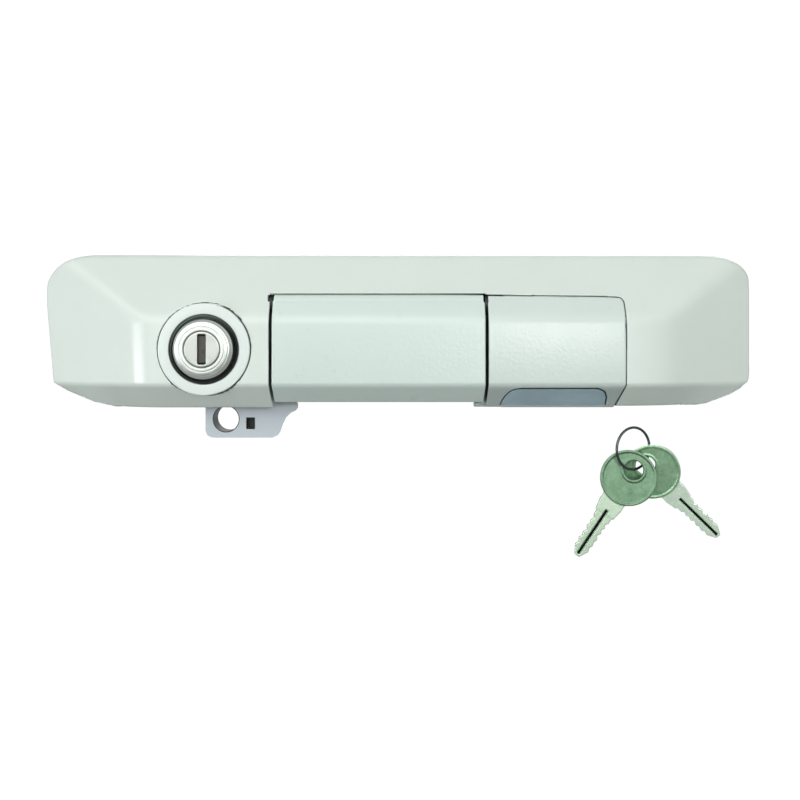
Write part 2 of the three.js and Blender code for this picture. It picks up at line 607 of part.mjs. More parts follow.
// seals behind the opening's top gap, [x, z]
const SEAL_LEFT = [
  [-57.1, 12.75], [-56.5, 12.75], [-56.5, 12.0], [-20.6, 12.0], [-20.6, 25], [-56.4, 25],
  [-56.4, 15.35], [-57.1, 15.35],
];
const SEAL_RIGHT = [
  [3.6, 12.0], [38.6, 12.0], [38.6, 12.15], [41.8, 12.15], [42.3, 15.4], [42.3, 25], [3.6, 25],
];
// notched round the carrier boss at [x, z]
function hingeSeal(points, [x, z]) {
  return cut(plateXZ(points, -9.4, -8.0), cylY(x, z, 3.55, -12, -6, 24));
}
place(fixedGroup, "hinge_seal_left", hingeSeal(SEAL_LEFT, CARRIER_FIXINGS[0]), FOAM);
place(fixedGroup, "hinge_seal_right", hingeSeal(SEAL_RIGHT, CARRIER_FIXINGS[1]), FOAM);

// ---------------------------------------------------------------- carrier plate
// plate with its lower hook tab, [x, z]
const CARRIER_OUTLINE = [
  [-88.7, -26], [-88.7, -46.2], [-87.8, -48.3], [-85.6, -49.3], [-58, -49.3], [-56, -48.5],
  [-54.4, -46.4], [-53.2, -43], [-51.8, -40.2], [-49.6, -38], [-47.2, -36.8], [-46.2, -35.6],
  [-46.2, -33.4], [-47.2, -32.6], [-49, -32.2], [-49, -18], [-44.2, -15.5], [35.2, -15.5],
  [35.2, 28.4], [26.5, 28.4], [24.5, 19], [-41.5, 19], [-43.5, 28.4], [-55, 28.4], [-57, 18],
  [-70.4, 18], [-70.4, -22], [-75, -26],
];
// lip along the tab's left and bottom edges, [x, z]
const CARRIER_LIP = [
  [-88.7, -46], [-88.7, -38], [-87.0, -38], [-87.0, -45.6], [-85.2, -47.5], [-58.6, -47.5],
  [-56.8, -46.8], [-55.8, -45.2], [-54.4, -46.4], [-56, -48.5], [-58, -49.3], [-85.6, -49.3],
  [-87.8, -48.3],
];
const COLLAR = { x: -79.2, z: -40.7, radius: 7.4, hole: 5.85 };
function carrierPlate() {
  const body = add(
    plateXZ(CARRIER_OUTLINE, 1.5, 3.5),
    cylY(COLLAR.x, COLLAR.z, COLLAR.radius, 1.5, 14, 32), // behind the round hole
    plateXZ(CARRIER_LIP, 3.4, 6.2),
    box(-72, -63.6, 3.4, 9.2, -46.6, -38.6), // pocket behind the square hole
  );
  return cut(
    body,
    cylY(COLLAR.x, COLLAR.z, COLLAR.hole, -1, 20, 32),
    box(-69.8, -66.0, 0, 7.8, -45.2, -40.1),
    box(-20.2, 3.2, 0, 5, -6.5, 18), // window for the lever's fingers
    ...rods(CARRIER_FIXINGS, CLEARANCE_R, -1, 6, 12),
    ...CRANKS.map(({ x }) => cylY(x, CRANK.z, 2.0, -1, 6, 16)),
  );
}
place(fixedGroup, "carrier_plate", carrierPlate(), PAINT);
const CARRIER_SCREWS = ["carrier_screw_1", "carrier_screw_2", "carrier_screw_3"];
placeScrews(fixedGroup, CARRIER_SCREWS, CARRIER_FIXINGS, CARRIER_SCREW);

// bridge over the lock slide
function slideKeeper() {
  return add(
    box(-66, -56, 7.5, 8.7, -5.6, 4.3),
    box(-66, -56, 3.62, 7.6, -5.6, -3.3),
    box(-66, -56, 3.62, 7.6, 2.0, 4.3),
  );
}
place(fixedGroup, "slide_keeper", slideKeeper(), ZINC);

// ---------------------------------------------------------------- bellcranks, clips and pivots
// outline from the crank's axis, [x along the inner arm's side, z]
const CRANK_OUTLINE = [
  [0, -5], [16, -4.2], [29.3, -1.6], [30.2, -0.4], [30.2, 1.8], [29.3, 2.7], [8, 2.7],
  [4.6, 6], [3.6, 22], [-3.6, 22], [-5, 0],
];
function bellcrank(x, side) {
  const { z, y0, y1, hub, up } = CRANK;
  const points = CRANK_OUTLINE.map(([along, above]) => [x + side * along, z + above]);
  return cut(
    add(
      plateXZ(points, y0, y1),
      cylY(x, z, hub, y0 - 1.2, y1, 28),
      cylY(x, z + up, 3.6, y0, y1, 24),
    ),
    cylY(x, z, 3.15, 0, 12, 24),
    cylY(x, z + up, 2.1, 0, 12, 16),
  );
}
// snap clip that holds the latch rod's end
function rodClip(x) {
  const { y0, y1 } = CRANK;
  const z = CRANK.z + CRANK.up;
  return cut(
    add(
      cylY(x, z, 1.9, y0 - 0.8, y1 + 0.6, 14),
      cylY(x, z, 4.3, y1 + 0.3, y1 + 2.3, 20),
      box(x - 2.4, x + 2.4, y1 + 2.2, y1 + 6, z - 4, z + 4),
      cylY(x, z, 2.8, y0 - 1.2, y0 - 0.35, 14),
    ),
    box(x - 1.3, x + 1.3, y1 + 3, y1 + 8, z - 6, z + 6),
  );
}
// shoulder rivet through the carrier
function crankPivot(x) {
  return add(
    cylY(x, CRANK.z, 1.85, 0.9, 3.8, 16),
    cylY(x, CRANK.z, 3.0, 3.62, 7.9, 24),
    cylY(x, CRANK.z, 4.8, 7.8, 9.2, 24, 4.2),
    cylY(x, CRANK.z, 3.0, 0.2, 1.35, 20),
  );
}
CRANKS.forEach(({ name, x, side }, i) => {
  place(crankGroups[i], "bellcrank_" + name, bellcrank(x, side), ZINC);
  place(crankGroups[i], "rod_clip_" + name, rodClip(x), CLIP);
  place(fixedGroup, "crank_pivot_" + name, crankPivot(x), STEEL);
});

// ---------------------------------------------------------------- lock housing and barrel
// the profiles in the lock sections are [radius, y]
const HOUSING_PROFILE = [
  [LOCK.bore, -4], [14.6, -4], [14.6, LOCK_SEAT_Y], [LOCK.ring, LOCK_SEAT_Y],
  [LOCK.ring, -26.1], [LOCK.ring - 0.5, -26.6], [LOCK.recess + 0.5, -26.6],
  [LOCK.recess, -26.1], [LOCK.recess, -21], [LOCK.bore, -21],
];
// flat ear from the housing out to its screw
function housingEar([earX, earZ]) {
  const { x, z } = LOCK;
  const length = Math.hypot(earX - x, earZ - z);
  const half = 3.4;
  const dx = (earX - x) / length;
  const dz = (earZ - z) / length;
  const startX = x + 12.5 * dx;
  const startZ = z + 12.5 * dz;
  const points = [
    [startX - half * dz, startZ + half * dx],
    [startX + half * dz, startZ - half * dx],
    [earX + half * dz, earZ - half * dx],
    [earX - half * dz, earZ + half * dx],
  ];
  return add(plateXZ(points, -14, -12), cylY(earX, earZ, half, -14, -12, 16));
}
function lockHousing() {
  return cut(
    add(lockTurned(HOUSING_PROFILE, 36), ...HOUSING_FIXINGS.map(housingEar)),
    ...rods(HOUSING_FIXINGS, 1.5, -20, -8, 12),
    lockCyl(LOCK.bore, -21.5, 0, 36),
  );
}
place(fixedGroup, "lock_housing", lockHousing(), PAINT);
const HOUSING_SCREWS = ["housing_screw_1", "housing_screw_2"];
placeScrews(fixedGroup, HOUSING_SCREWS, HOUSING_FIXINGS, HOUSING_SCREW);

// black rubber ring that lines the recess round the barrel's head
const WELL_RING_PROFILE = [
  [13.1, -21.08], [15.08, -21.08], [15.08, -25.4], [14.3, -25.4], [14.3, -22.0], [13.1, -22.0],
];
place(fixedGroup, "lock_well_ring", lockTurned(WELL_RING_PROFILE, 36), FOAM);

// barrel with its stepped head
const BARREL_PROFILE = [
  [7.2, 1.2], [11.0, 1.2], [11.0, -2.4], [9.8, -2.4], [9.8, -3.8], [11.0, -3.8],
  [11.0, -21.2], [12.95, -21.2], [12.95, -28.6], [12.2, -29.0], [12.2, -30.6], [11.3, -31.4],
  [9.0, -31.6], [8.3, -31.2], [8.3, -27.2], [7.2, -27.2],
];
function lockBarrel() {
  return cut(
    lockTurned(BARREL_PROFILE, 30),
    lockBox(-3.7, 3.7, -24.2, -5.6, -9.3, 9.3),
    lockBox(-9.3, 9.3, -24.2, -5.6, -3.7, 3.7),
  );
}
place(fixedGroup, "lock_barrel", lockBarrel(), NICKEL);

// horseshoe clip in the barrel's groove, open at the bottom
function lockRetainingClip() {
  const { x, z } = LOCK;
  return cut(
    lockCyl(13.2, -3.6, -2.7, 32),
    lockCyl(10.1, -6, 0, 28),
    plateXZ([[x, z], [x - 16, z - 18], [x + 16, z - 18]], -6, 0),
  );
}
place(fixedGroup, "lock_retaining_clip", lockRetainingClip(), SPRING);

// ---------------------------------------------------------------- plug, wafers and shutter
// how far each wafer's window is raised, from the front wafer to the rear
const WAFER_LIFTS = [0.3, -0.25, 0.45, -0.45, 0.1, 0.25];
const WAFERS = WAFER_LIFTS.map((lift, i) => ({ y: -22.4 + i * 3.0, lift }));

const CAP_PROFILE = [
  [0, -30.55], [LOCK.plug, -30.55], [LOCK.plug, -31.0], [LOCK.plug - 0.5, -31.45], [0, -31.45],
];
function plugFaceCap() {
  const keySlot = lockBox(-1.8, 1.8, -33, -28, -6.5, 6.5);
  return lockTurned(CAP_PROFILE, 30).subtract(keySlot);
}
place(plugGroup, "plug_face_cap", plugFaceCap(), NICKEL);

const PLUG_PROFILE = [
  [0, 1.0], [0, -30.4], [LOCK.plug, -30.4], [LOCK.plug, -27.35], [7.0, -27.35], [7.0, 1.0],
];
function lockPlug() {
  const squareTail = lockBox(-3, 3, 0.8, 5.0, -3, 3);
  return cut(
    add(lockTurned(PLUG_PROFILE, 30), squareTail),
    lockBox(-3.5, 2.2, -32, -24.6, -6.1, 6.1), // room for the shutter
    lockBox(-1.4, 1.4, -32, -4, -4.6, 4.6), // keyway
    lockCyl(1.3, -2.5, 8, 12), // pawl screw's hole
    lockBox(-2.75, -1.85, -32, -28.4, -6.9, 6.9), // shutter pin's groove
    ...WAFERS.map(({ y }) => lockBox(-3.55, 3.55, y - 0.78, y + 0.78, -9, 9)),
  );
}
place(plugGroup, "lock_plug", lockPlug(), BRASS);
place(plugGroup, "shutter_pin", shutterCyl(0.34, 6.75, 10), STEEL);

function dustShutter() {
  const flap = lockBox(-2.3, 1.65, -29.75, -29.05, -5.7, 5.7);
  return cut(add(flap, shutterCyl(0.78, 5.7, 14)), shutterCyl(0.44, 8, 12));
}
place(shutterGroup, "dust_shutter", dustShutter(), DARK);

function wafer({ y, lift }) {
  return lockCyl(6.95, y - 0.6, y + 0.6, 28)
    .intersect(lockBox(-3.35, 3.35, y - 1, y + 1, -8, 8))
    .subtract(lockBox(-1.6, 1.6, y - 2, y + 2, -4.1 + lift, 4.1 + lift));
}
WAFERS.forEach((place_, i) => place(waferGroup, "wafer_" + (i + 1), wafer(place_), BRASS));

// ---------------------------------------------------------------- pawl and slide
// pawl on the plug's square tail; its pin drives the slide
function lockPawl() {
  const { x, z } = LOCK;
  const pin = PAWL_PIN;
  const arm = [
    [x + 2.6, z + 4.2], [pin.x + 2.2, pin.z + 2.4], [pin.x - 2.4, pin.z - 2.2],
    [x - 4.2, z - 2.6],
  ];
  return cut(
    add(
      lockCyl(6, 2.4, 4.4, 24),
      plateXZ(arm, 2.4, 4.4),
      cylY(pin.x, pin.z, 3.2, 2.4, 4.4, 18),
      cylY(pin.x, pin.z, 1.5, 4.2, 7.4, 16),
    ),
    lockBox(-3.1, 3.1, 0, 8, -3.1, 3.1),
  );
}
place(plugGroup, "lock_pawl", lockPawl(), ZINC);

// screw with a washer and a hexagonal head
function pawlScrew() {
  return add(lockCyl(1.15, -1.8, 5.3, 12), lockCyl(4.2, 5.1, 5.7, 20), lockCyl(3.1, 5.6, 7.4, 6));
}
place(plugGroup, "pawl_screw", pawlScrew(), ZINC);

// fork round the pawl's pin at the left, tongue under the left bellcrank at the right, [x, z]
const SLIDE_OUTLINE = [
  [-97, 5.6], [-97, -3.9], [PAWL_PIN.x - 2.0, -3.9], [PAWL_PIN.x - 2.0, 1.2],
  [PAWL_PIN.x - 1.2, 2.5], [PAWL_PIN.x + 1.2, 2.5], [PAWL_PIN.x + 2.0, 1.2],
  [PAWL_PIN.x + 2.0, -3.9], [-84.5, -3.9], [-82.5, -2.9], [-44.6, -2.9], [-43.6, -1.9],
  [-43.6, 1.6], [-82.5, 1.6], [-84.5, 5.6],
];
place(slideGroup, "lock_slide", plateXZ(SLIDE_OUTLINE, 5.1, 7.1), ZINC);

// ---------------------------------------------------------------- mounting studs and nuts
const STUD_R = 3.0;
function mountStud(x, z) {
  return add(cylY(x, z, STUD_R, -11, 21.2, 20), cylY(x, z, STUD_R, 21.1, 22, 20, 2.3));
}
// hexagonal nut with a round flange
function mountNut(x, z) {
  return cut(
    add(cylY(x, z, 5.77, 3.2, 8.4, 6), cylY(x, z, 7.2, 2.2, 3.7, 28)),
    cylY(x, z, STUD_R + 0.2, 0, 20, 20),
  );
}
STUDS.forEach(([x, z], i) => {
  const side = ["left", "right"][i];
  place(fixedGroup, "mount_stud_" + side, mountStud(x, z), ZINC);
  place(fixedGroup, "mount_nut_" + side, mountNut(x, z), ZINC);
});

// ---------------------------------------------------------------- keys and ring
const RING = { x: 106.5574, y: -6.6, z: -53.4517, radius: 9.5, wire: 0.6, tilt: 34 };
// bow centre, then degrees: lean about the key's length, turn about Y (positive: -Z to -X)
const KEY_LEFT = { x: 104.3716, y: RING.y, z: -66.7486, lean: -6, turn: 33.8 };
const KEY_RIGHT = { x: 115.9381, y: -3.0, z: -64.2896, lean: -14, turn: -45.8 };
const KEY = { half: 1.05, bow: 12.6, rim: 0.25, holeZ: 4.2 }; // half is half the thickness

// neck below the bow, [x, z] from the bow's centre
const KEY_NECK = [
  [-5.2, -10], [-5.6, -14.5], [-4.6, -19.8], [4.6, -19.8], [5.6, -14.5], [5.2, -10],
];
// toothed blade: down the left edge, then up the right, [x, z] from the bow's centre
const KEY_BLADE = [
  [-3.9, -19.5], [-3.9, -22.4], [-2.9, -23.6], [-3.7, -25.2], [-3.0, -26.6], [-3.8, -28.2],
  [-2.6, -29.8], [-3.6, -31.4], [-3.0, -33], [-3.7, -34.8], [-2.8, -36.4], [-3.5, -38],
  [-1.2, -42.2], [1.2, -42.2], [3.5, -38], [2.8, -36.2], [3.7, -34.6], [3.1, -33],
  [3.8, -31.2], [2.7, -29.6], [3.7, -28.0], [2.9, -26.4], [3.8, -25], [3.0, -23.6],
  [3.9, -22.4], [3.9, -19.5],
];
// built pointing down from the bow's centre, then leaned, turned and moved into place
function key({ x, y, z, lean, turn }) {
  const { half, bow, holeZ } = KEY;
  const raised = half + KEY.rim;
  const body = add(
    cylY(0, 0, bow, -half, half, 28),
    plateXZ(KEY_NECK, -half, half),
    plateXZ(KEY_BLADE, -half, half),
    cylY(0, 0, bow, -raised, raised, 28).subtract(cylY(0, 0, bow - 1.2, -4, 4, 28)),
    cylY(0, holeZ, 5.6, -raised, raised, 20),
  );
  const finished = cut(
    body,
    cylY(0, holeZ, 4.4, -6, 6, 20),
    box(-0.8, 0.8, -half - 1, -half + 0.7, -41, -17.5), // groove in each face of the blade
    box(-0.8, 0.8, half - 0.7, half + 1, -41, -17.5),
  );
  return finished.rotate([0, 0, lean]).rotate([0, turn, 0]).translate([x, y, z]);
}
function keyRing() {
  const torus = new THREE.TorusGeometry(RING.radius, RING.wire, 6, 32);
  torus.rotateX(Math.PI / 2);
  torus.rotateZ((RING.tilt * Math.PI) / 180);
  torus.translate(RING.x, RING.y, RING.z);
  return solid(torus);
}
const ringGroup = bodyGroup(RING.x, RING.y, RING.z);
const leftKeyGroup = bodyGroup(RING.x, KEY_LEFT.y, RING.z - RING.radius, ringGroup);
const rightKeyGroup = bodyGroup(RING.x + 5.6, KEY_RIGHT.y, RING.z - 6.8, ringGroup);
place(ringGroup, "key_ring", keyRing(), STEEL);
place(leftKeyGroup, "key_left", key(KEY_LEFT), KEY_METAL);
place(rightKeyGroup, "key_right", key(KEY_RIGHT), KEY_METAL);

export default root;
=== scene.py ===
"""Looks for the locking lift handle: painted bezel, lift paddle, camera cover, wafer lock,
bellcranks and keys. +X is right, +Z up, and the front faces -Y.
The helpers work in millimetres with z counted from the bezel's middle. Meshes are in metres.
"""

import json
import math

import bmesh
import bpy
import numpy as np
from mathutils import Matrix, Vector


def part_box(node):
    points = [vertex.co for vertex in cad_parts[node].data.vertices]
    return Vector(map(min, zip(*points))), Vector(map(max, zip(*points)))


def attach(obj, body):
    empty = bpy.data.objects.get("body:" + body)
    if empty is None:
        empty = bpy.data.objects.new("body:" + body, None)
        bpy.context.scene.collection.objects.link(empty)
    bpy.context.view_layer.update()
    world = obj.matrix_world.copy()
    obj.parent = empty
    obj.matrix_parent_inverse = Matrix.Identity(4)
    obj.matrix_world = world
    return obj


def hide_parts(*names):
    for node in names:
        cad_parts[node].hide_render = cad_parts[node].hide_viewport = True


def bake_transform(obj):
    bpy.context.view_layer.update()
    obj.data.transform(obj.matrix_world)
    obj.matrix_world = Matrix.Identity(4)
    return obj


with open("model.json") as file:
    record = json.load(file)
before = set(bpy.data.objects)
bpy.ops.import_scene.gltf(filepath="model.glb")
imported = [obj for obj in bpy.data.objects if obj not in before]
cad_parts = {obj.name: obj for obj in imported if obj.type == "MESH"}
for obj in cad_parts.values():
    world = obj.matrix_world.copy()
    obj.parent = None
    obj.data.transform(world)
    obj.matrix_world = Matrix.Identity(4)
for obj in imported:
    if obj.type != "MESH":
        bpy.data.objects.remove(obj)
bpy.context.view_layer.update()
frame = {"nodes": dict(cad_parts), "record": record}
NODES = frame["nodes"]

# ------------------------------------------------------------------ sizes, mm
MM = 0.001
HALF_WIDTH = 160.7
TOP_Z, BOTTOM_LEFT_Z, BOTTOM_RIGHT_Z = 34.4, -34.8, -34.0
# height of the file's origin above the bezel's middle
ORIGIN = TOP_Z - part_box("bezel")[1].z * 1000

# painted surface: a near-flat front falling to the top edge, the ends and the chin
FRONT_DEPTH = 25.5
TOP_SLOPE, END_SLOPE, CHIN_SLOPE = 0.663, 0.472, 1.57
CHIN_Z = -24.2
INNER_CHIN_Z = CHIN_Z + 1.6
CROWN = 0.0011  # bow of the camera cover's front
WALL = 2.6
RIM_Y = -1.5

# the hinge line runs along X
HINGE_Y, HINGE_Z = -15.316, 11.3
HINGE_BARREL_R, PIN_R = 5.0, 1.6
PIN_BORE_R = PIN_R + 0.15
HINGE_EAR_X = (42.6, 46.4)
SPRING_X = (-53, -43)

PADDLE_LEFT, PADDLE_RIGHT, PADDLE_BOTTOM = -55.1, 38.2, -32.1
PADDLE_WALL = 2.2
PADDLE_POCKETS_X = [(-38, -21), (4, 33)]
COVER_LEFT, COVER_RIGHT, COVER_BOTTOM = 39.5, 99.1, -34.3
OPENING_LEFT, OPENING_RIGHT, OPENING_TOP = -56.3, 99.6, 15.2
OPENING_LOW_RIGHT = OPENING_RIGHT - 2.2  # the right edge below the chin

LOCK_X, LOCK_Z = -84.4, -8.4
RING_R, RECESS_R, PLUG_R = 20.05, 15.2, 7.8

# (x, z) of the round bosses, lugs and ears
BOSSES = [(-50, 24.3), (31, 24.3), (-62.5, -23.5)]
PAN_BOSSES = [(-60, -12), (106.5, -12)]
EARS = [(-72.5, 13.6), (-104.5, -22.8)]
STUDS = [(-130, 0), (130, 0)]
LUGS = [(-14, 1), (-3, 1)]
COVER_BOSSES = [(52, -12), (88, -12)]

BEYOND = 60  # past every face of the handle, for open-ended cuts
FAR = 50.0  # field value where there is nothing

# (x, z) along the lower edge of the shell, where the chin facet runs out
FOOT = [
    (-157.0, -23.6), (-152.4, -26.9), (-139.0, -32.6), (-129.0, BOTTOM_LEFT_Z),
    (136.5, BOTTOM_RIGHT_Z), (140.8, -33.3), (151.8, -29.2), (156.4, -26.5), (159.8, -23.3),
]
FOOT_X, FOOT_Z = zip(*FOOT)


# ------------------------------------------------------------------ fields, negative inside
def smin(a, b, blend):
    h = np.maximum(blend - np.abs(a - b), 0) / blend
    return np.minimum(a, b) - h * h * blend / 4


def smax(a, b, blend):
    return -smin(-a, -b, blend)


def cut(body, tool, blend=0.3):
    return smax(body, -tool, blend)


def soft_ramp(t, w):
    return np.where(t < -w, 0, np.where(t > w, t, (t + w) ** 2 / (4 * w)))


def depth(x, z, chin, crown):
    """Depth ahead of y = 0 of the painted outer surface."""
    front = FRONT_DEPTH - 0.02 * (z + 8) - crown * (z + 12) ** 2
    top = 6 + TOP_SLOPE * (TOP_Z - z)
    end = 2.5 + END_SLOPE * (HALF_WIDTH - np.abs(x))
    d = smin(smin(front, top, 1.9), end, np.where(x > 0, 6.0, 2.6))
    drop = np.maximum(CHIN_Z - np.interp(x, FOOT_X, FOOT_Z), 0.8)
    slope = np.minimum(CHIN_SLOPE, (np.minimum(end, 25) - 2.0) / drop)
    d = d - slope * soft_ramp(chin - z, 1.4)
    return np.maximum(d, 2.5)


def above(x, y, z, drop=0.0, chin=CHIN_Z, crown=0.0):
    """Near-distance to the outer surface pulled back by drop: below 0 behind it."""
    e = 0.05
    s = depth(x, z, chin, crown)
    slope_x = (depth(x + e, z, chin, crown) - s) / e
    slope_z = (depth(x, z + e, chin, crown) - s) / e
    return (-y - s) / np.sqrt(1 + slope_x * slope_x + slope_z * slope_z) + drop


def poly(x, z, points):
    """Signed distance to a closed polygon in (x, z)."""
    x, z = np.broadcast_arrays(np.asarray(x, float), np.asarray(z, float))
    d = np.full(x.shape, 1e9)
    inside = np.zeros(x.shape, bool)
    for (ax, az), (bx, bz) in zip(points, points[1:] + points[:1]):
        ex, ez = bx - ax, bz - az
        wx, wz = x - ax, z - az
        t = np.clip((wx * ex + wz * ez) / (ex * ex + ez * ez + 1e-12), 0, 1)
        d = np.minimum(d, (wx - ex * t) ** 2 + (wz - ez * t) ** 2)
        if abs(ez) > 1e-12:
            crossed = (az > z) != (bz > z)
            inside ^= crossed & (x < ax + (z - az) * ex / ez)
    d = np.sqrt(d)
    return np.where(inside, -d, d)


def slab(v, low, high):
    return np.abs(v - (low + high) / 2) - (high - low) / 2


def box2(x, z, x_span, z_span, radius=0.0):
    qx = slab(x, *x_span) + radius
    qz = slab(z, *z_span) + radius
    outside = np.hypot(np.maximum(qx, 0), np.maximum(qz, 0))
    return outside + np.minimum(np.maximum(qx, qz), 0) - radius


def box3(x, y, z, x_span, y_span, z_span, radius=0.0):
    qx = slab(x, *x_span) + radius
    qy = slab(y, *y_span) + radius
    qz = slab(z, *z_span) + radius
    outside = np.sqrt(np.maximum(qx, 0) ** 2 + np.maximum(qy, 0) ** 2 + np.maximum(qz, 0) ** 2)
    return outside + np.minimum(np.maximum(np.maximum(qx, qy), qz), 0) - radius


def about(middle, half):
    return middle - half, middle + half


def post(x, y, z, place, radius, y_span):
    """Round post along Y at an (x, z) place."""
    across = np.hypot(x - place[0], z - place[1]) - radius
    return smax(across, slab(y, *y_span), 0.4)


def posts(x, y, z, places, radius, y_span):
    out = FAR
    for place in places:
        out = np.minimum(out, post(x, y, z, place, radius, y_span))
    return out


def drill(body, x, y, z, places, radius, y_span):
    for place in places:
        body = cut(body, post(x, y, z, place, radius, y_span))
    return body


# ------------------------------------------------------------------ fields to meshes
def grade(low, high, coarse, fine, marks, width=2.0):
    """Grid lines from low to high, fine near the marks. A mark is a value or a (from, to) span."""
    spans = [m if isinstance(m, tuple) else (m, m) for m in marks]
    out, t = [low], low
    while t < high:
        d = min([max(a - t, t - b, 0) for a, b in spans] + [1e9])
        s = min(max((d - width) / (2.5 * width), 0), 1)
        t += fine + (coarse - fine) * s * s * (3 - 2 * s)
        out.append(t)
    return np.array(out)


CORNERS = [(i, j, k) for i in (0, 1) for j in (0, 1) for k in (0, 1)]
ROUNDS = 3  # passes that pull the vertices on to the surface
PROBE = 0.01  # step for slopes


def net(field, xs, ys, zs):
    """Dual-grid surface of field = 0 as vertices, quads and normals."""
    shape = len(xs), len(ys), len(zs)
    values = field(xs[:, None, None], ys[None, :, None], zs[None, None, :])
    values = np.broadcast_to(values, shape)
    inside = values < 0
    filled = np.zeros([n - 1 for n in shape], np.uint8)
    for corner in CORNERS:
        filled += inside[tuple(slice(c, n - 1 + c) for c, n in zip(corner, shape))]
    active = (filled > 0) & (filled < 8)
    cells = np.argwhere(active)
    ids = np.full(filled.shape, -1, np.int64)
    ids[active] = np.arange(len(cells))

    def place(index):
        return np.stack([xs[index[:, 0]], ys[index[:, 1]], zs[index[:, 2]]], 1)

    # each vertex starts at the mean of its cell's edge crossings
    total, crossings = np.zeros((len(cells), 3)), np.zeros(len(cells))
    for corner in CORNERS:
        for axis in range(3):
            if corner[axis]:
                continue
            near = cells + corner
            far = near.copy()
            far[:, axis] += 1
            a, b = values[tuple(near.T)], values[tuple(far.T)]
            hit = (a < 0) != (b < 0)
            t = np.where(hit, a / np.where(hit, a - b, 1), 0)
            start = place(near)
            crossing = start + t[:, None] * (place(far) - start)
            total += np.where(hit[:, None], crossing, 0)
            crossings += hit
    vertices = total / crossings[:, None]

    # one quad for each grid edge that crosses the surface
    quads = []
    for axis in range(3):
        low, high = [slice(1, -1)] * 3, [slice(1, -1)] * 3
        low[axis], high[axis] = slice(0, -1), slice(1, None)
        first, second = inside[tuple(low)], inside[tuple(high)]
        crossed = np.argwhere(first != second)
        if not len(crossed):
            continue
        base = crossed + 1
        base[:, axis] -= 1
        u, w = (axis + 1) % 3, (axis + 2) % 3
        around = []
        for du, dw in ((-1, -1), (0, -1), (0, 0), (-1, 0)):
            cell = base.copy()
            cell[:, u] += du
            cell[:, w] += dw
            around.append(ids[tuple(cell.T)])
        quad = np.stack(around, 1)
        backward = ~first[tuple(crossed.T)]
        quad[backward] = quad[backward][:, ::-1]
        quads.append(quad)

    def slope(points):
        here = field(*points.T)
        ahead = [field(*(points + step).T) - here for step in np.eye(3) * PROBE]
        return here, np.stack(ahead, 1) / PROBE

    longest = 0.6 * max(np.min(np.diff(xs)), 0.3)
    for _ in range(ROUNDS):
        here, g = slope(vertices)
        step = g * (here / np.maximum((g * g).sum(1), 1e-4))[:, None]
        length = np.linalg.norm(step, axis=1, keepdims=True)
        vertices = vertices - step * np.minimum(1, longest / np.maximum(length, 1e-9))
    _, g = slope(vertices)
    normals = g / np.maximum(np.linalg.norm(g, axis=1, keepdims=True), 1e-9)
    return vertices, np.concatenate(quads), normals


def link_object(name, data):
    o = bpy.data.objects.new(name, data)
    bpy.context.scene.collection.objects.link(o)
    return o


def make(name, vertices, faces, normals=None, smooth=True):
    me = bpy.data.meshes.new(name)
    points = ((np.asarray(vertices) - (0, 0, ORIGIN)) * MM).tolist()
    me.from_pydata(points, [], [list(map(int, face)) for face in faces])
    me.validate()
    if smooth:
        me.polygons.foreach_set("use_smooth", [True] * len(me.polygons))
    if normals is not None and len(me.vertices) == len(normals):
        me.normals_split_custom_set_from_vertices(normals.tolist())
    me.update()
    return link_object(name, me)


def solid(name, field, xs, ys, zs, turn=None):
    """Mesh of a field; turn is an optional (matrix, shift)."""
    vertices, quads, normals = net(field, xs, ys, zs)
    if turn is not None:
        matrix, shift = turn
        vertices, normals = vertices @ matrix.T + shift, normals @ matrix.T
    return make(name, vertices, quads, normals)


def rounded(points, radii, steps=5):
    """Polygon with its corners rounded; radii is one radius or one for each corner."""
    points = [np.array(p, float) for p in points]
    if not isinstance(radii, list):
        radii = [radii] * len(points)
    out = []
    for i, p in enumerate(points):
        a, b = points[i - 1] - p, points[(i + 1) % len(points)] - p
        length_a, length_b = np.linalg.norm(a), np.linalg.norm(b)
        a, b = a / length_a, b / length_b
        angle = math.acos(float(np.clip(a @ b, -1, 1)))
        if radii[i] <= 0 or angle > 3.05:
            out.append(tuple(p))
            continue
        reach = min(radii[i] / math.tan(angle / 2), length_a * 0.48, length_b * 0.48)
        start, end = p + a * reach, p + b * reach
        for k in range(steps + 1):
            s = k / steps
            out.append(tuple(start * (1 - s) ** 2 + p * 2 * s * (1 - s) + end * s * s))
    return out


# ------------------------------------------------------------------ node trees
class Tree:
    """A node tree with short ways to add to it."""

    def __init__(self, tree):
        self.tree = tree

    def put(self, socket, value):
        """Links an output to the socket, or sets its value. Colours are (r, g, b)."""
        if isinstance(value, bpy.types.NodeSocket):
            self.tree.links.new(value, socket)
        elif socket.type == "RGBA":
            socket.default_value = (*value, 1)
        else:
            socket.default_value = value

    def node(self, kind, *values, **settings):
        """New node: settings are named inputs or properties, values fill its inputs in order."""
        node = self.tree.nodes.new(kind)
        for key, value in settings.items():
            if key in node.inputs:
                self.put(node.inputs[key], value)
            else:
                setattr(node, key, value)
        for socket, value in zip(node.inputs, values):
            self.put(socket, value)
        return node

    def ramp(self, fac, stops):
        node = self.node("ShaderNodeValToRGB", fac)
        elements = node.color_ramp.elements
        for i in (0, -1):
            elements[i].position = stops[i][0]
            elements[i].color = (*stops[i][1], 1)
        for position, rgb in stops[1:-1]:
            elements.new(position).color = (*rgb, 1)
        return node.outputs["Color"]

    def remap(self, value, span=(0, 1), to=(0, 1)):
        return self.node("ShaderNodeMapRange", value, *span, *to).outputs["Result"]

    def math(self, operation, a, b):
        return self.node("ShaderNodeMath", a, b, operation=operation).outputs[0]

    def mix_shader(self, factor, a, b):
        return self.node("ShaderNodeMixShader", factor, a, b).outputs[0]


